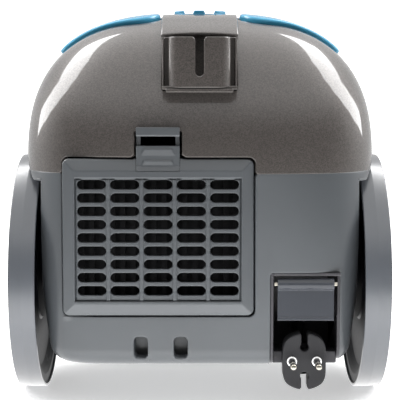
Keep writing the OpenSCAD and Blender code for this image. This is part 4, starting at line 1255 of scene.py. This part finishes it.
def make_flap():
    """Roll with a hanging panel, on two bright pivots"""
    mx = (flap_low[0] + flap_high[0]) / 2
    y, z, r = -200.5, 100.5, 4.3
    arc = [(y + r * math.cos(turn), z + r * math.sin(turn)) for turn in np.radians(np.linspace(-62, 236, 36))]
    outline = [(y + 1.9, 72.6), *arc, (y - 0.6, 95.6), (y - 0.6, 75.5), (y - 1.2, 74.6), (y - 1.2, 72.4),
               (y + 1.4, 72.2)]
    panel = slab("flap_panel", outline, mx - 21.6, mx + 21.6, 0.35)
    pins = [rod("flap_pin", (mx + s * 21, y, z), (mx + s * 24.2, y, z), 1.54, 0.6, 32) for s in (-1, 1)]
    wear(joined("plug_bay_flap", [panel]), "bay_flap", "flap_plastic", "bay_flap")
    wear(joined("flap_pivots", pins), "bay_flap", "pin_metal")


def plug_distance(x, z):
    """Distance to the plug's face outline, negative inside: a disc with flat sides and two keyholes"""
    x, z, hole_z = x - PLUG_X, z - PLUG_Z, 11.2
    disc, flat = np.hypot(x, z) - PLUG_R, np.abs(x) - 16.5
    body = np.maximum(disc, flat) + np.clip(1 - np.abs(disc - flat) / 4, 0, 1) ** 2
    for side in (1, -1):
        slit = np.maximum(np.abs(x) - 2.3, hole_z - side * z)
        body = np.maximum(body, -np.minimum(np.hypot(x, z - side * hole_z) - 3.2, slit))
    return body


def make_plug():
    """Plug body, the collars round its pins, the pins and their sleeves, and the cord's ribbed sleeve"""
    face, back = plug_low[1], plug_high[1]
    pins = [(PLUG_X + side * 9.5, PLUG_Z + 0.2) for side in (-1, 1)]

    def keep(x, z):
        return -plug_distance(x, z)

    def height(x, z):
        sunk = 0.0 * x
        for pin in pins:
            sunk = np.maximum(sunk, 1.6 * np.clip((3.95 - np.hypot(x - pin[0], z - pin[1])) / 0.3, 0, 1))
        return sunk

    us, vs = (lines([middle - half, middle + half], 0.55) for middle, half in ((PLUG_X, 17), (PLUG_Z, 22.5)))
    disc = plate("plug_disc", keep, us, vs, ("rear", face), back - face, 1.1, height, steps=4)
    taper = [(0, 13.5), (1.2, 13), (4, 11), (4, 0)]
    shoulder = lathe_y("plug_neck", taper, (PLUG_X, back - 0.6, PLUG_Z + 0.8))
    body = wear(joined("mains_plug", [disc, shoulder]), "chassis", "cord_rubber", "plug_body")

    def on_pins(name, profile, segments):
        return joined(name, [lathe_y(f"{name}_part", profile, (x, face, z), segments) for x, z in pins])

    collar = [(2.0, 2.5), (0.2, 2.5), (-0.3, 2.8), (-0.4, 3.4), (-0.1, 3.85), (2.0, 3.85)]
    rings = wear(on_pins("pin_rings", collar, 48), "chassis", "white_plastic", "pin_collars")
    sleeve = [(2.0, 0), (2.0, 2.4), (-9.4, 2.4), (-9.8, 2.15), (-9.8, 0)]
    blacks = wear(on_pins("pin_sleeves", sleeve, 40), "chassis", "cord_rubber")
    tip = [(-9.0, 0), (-9.0, 2.3), (-17.6, 2.38), (-18.5, 2.0), (-19.0, 1.2), (-19.0, 0)]
    metals = wear(on_pins("pin_tips", tip, 40), "chassis", "pin_metal", "plug_pins")

    profile = [(0, 0), (0, 4.2)]
    for k in range(5):
        y, r = -1.5 - 4.2 * k, 4.3 + 0.75 * k
        profile += [(y, r + 0.5), (y - 2.6, r + 0.9), (y - 2.9, r + 0.1), (y - 4.0, r + 0.3)]
    profile += [(-22, 8.4), (-22, 0)]
    sleeve = lathe_y("cord_sleeve", profile, (CORD_X, box("strain_relief")[1][1], TAIL[-1][1]), 64)
    wear(sleeve, "chassis", "cord_rubber", "strain_relief")
    return [body, rings, blacks, metals, sleeve]


# -------- wheels


def make_wheels():
    """Tread, dished disc and hub cap of each big wheel, as profiles outwards from the tread's inner edge"""
    tread = tyre_high[0] - tyre_low[0]
    r = WHEEL_R
    for label, side in SIDES:
        inner = (side * tyre_low[0], AXLE_Y, r)
        crown = rounded([(0.0, r - 2.4), (0.0, r - 0.2), (tread * 0.5, r), (tread, r - 1.0), (tread, r - 2.6),
                         (0.0, r - 2.6)], 1.2, 5)
        tyre = lathe(f"{label}_tread", crown, inner, side, 256)
        wear(tyre, f"{label}_wheel", "tread", f"{label}_tyre")
        dish = rounded([(1.05, 6.05), (1.05, 14), (5.0, 14), (5.0, 40), (6.4, 42), (6.4, 80), (5.0, 82),
                        (3.4, 84), (1.5, 87), (1.5, r - 2.5), (17.4, r - 2.5), (17.4, r - 9), (8.2, r - 9),
                        (8.2, 14), (15, 14), (15, 6.05), (1.05, 6.05)], 0.8, 3)
        disc = lathe(f"{label}_disc", dish, inner, side, 192)
        wear(disc, f"{label}_wheel", "black_plastic", f"{label}_wheel")
        outer = [(15.2, 0), (15.2, 17), (13, 60), (13, r - 9.2), (16.6, r - 9.2), (17.0, r - 11),
                 (16.0, r - 13), (16.2, 62), (17.6, 59), (17.8, 40), (18.9, 22), (18.0, 20.4), (18.3, 18),
                 (19.2, 15), (19.3, 0)]
        cap = lathe(f"{label}_cap", rounded(outer, 1.2, 4), inner, side, 192)
        wear(cap, f"{label}_wheel", "trim_plastic", f"{label}_hub_cap")


# -------- lid's catch and carry handle


def make_catch():
    """Curved push plate over the lid's seam, with two grip ridges, its pivot and its hook"""
    reach, ridge_h = FRONT_REACH - CREST_Y + 3, 0.8

    def point(u, v, g):
        ridge = sum(ridge_h * ease(1 - np.abs(v - middle) / 1.6) for middle in (183, 188))
        r = reach + g - ridge_h + ridge * ease((17 - np.abs(u)) / 2)
        return np.stack([-r * np.sin(u / reach), CREST_Y + r * np.cos(u / reach), v + 0 * u], -1)

    def keep(p):
        return -from_box(p[:, 0], p[:, 2], (0, 192), (43.6, 35.6), 6)

    face = skin("catch_face", point, keep, lines([-24, 24], 0.9), lines([173, 211], 0.7), 5, 1.2, steps=4)
    pivot = rod("catch_pivot", (-28.5, 195, 206), (28.5, 195, 206), 1.5, 0.3, 24)
    hook = block("catch_hook", (-10, 193.6, 204.6), (10, 202.8, 207.4), 0.5)
    wear(joined("lid_catch_plate", [face, pivot, hook]), "lid_catch", "blue_plastic", "lid_latch")


def make_handle():
    """Folding handle: two flat tapering arms and a round grip with a swelling in the middle"""
    pivot, grip = np.array([56.0, 301.0]), np.array([112.0, 288.0])
    along = unit(grip - pivot)
    heading = math.atan2(along[1], along[0])
    thin, thick = 5, 6
    spread = math.acos((thick - thin) / np.linalg.norm(grip - pivot))

    def arc(centre, radius, start, end):
        turn = np.linspace(start, end, 20)
        return [(centre[0] + radius * math.cos(a), centre[1] + radius * math.sin(a)) for a in turn]

    outline = arc(grip, thin, heading - spread, heading + spread)
    outline += arc(pivot, thick, heading + spread, heading + 2 * math.pi - spread)
    arms = [slab("handle_arm", outline, *apart(0, side, 40.2, 46.2), 1.0, 3) for side in (-1, 1)]
    shape = [(x, 6.4 + 0.1 * math.cos(math.pi * x / 40)) for x in np.linspace(-39, 39, 27)]
    ends = [(-46.3, 0), (-46.3, 4.6), (-45.4, 5.8), (-44, 6.4)]
    profile = ends + shape + [(-x, r) for x, r in reversed(ends)]
    bar = lathe("handle_grip", profile, (0, grip[0], grip[1]), 1, 72)
    wear(joined("fold_handle", [*arms, bar]), "carry_handle", "hood_plastic", "carry_handle")


# -------- main

dress_frame()
make_camera()
cord = make_cord()
make_studio()
for make in (make_shells, make_vent_backs, make_well_liners, make_grille, make_latch, make_bracket,
             make_pedals, make_springs, make_dial, make_bay, make_flap):
    make()
plug_pieces = make_plug()
make_wheels()
make_catch()
make_handle()
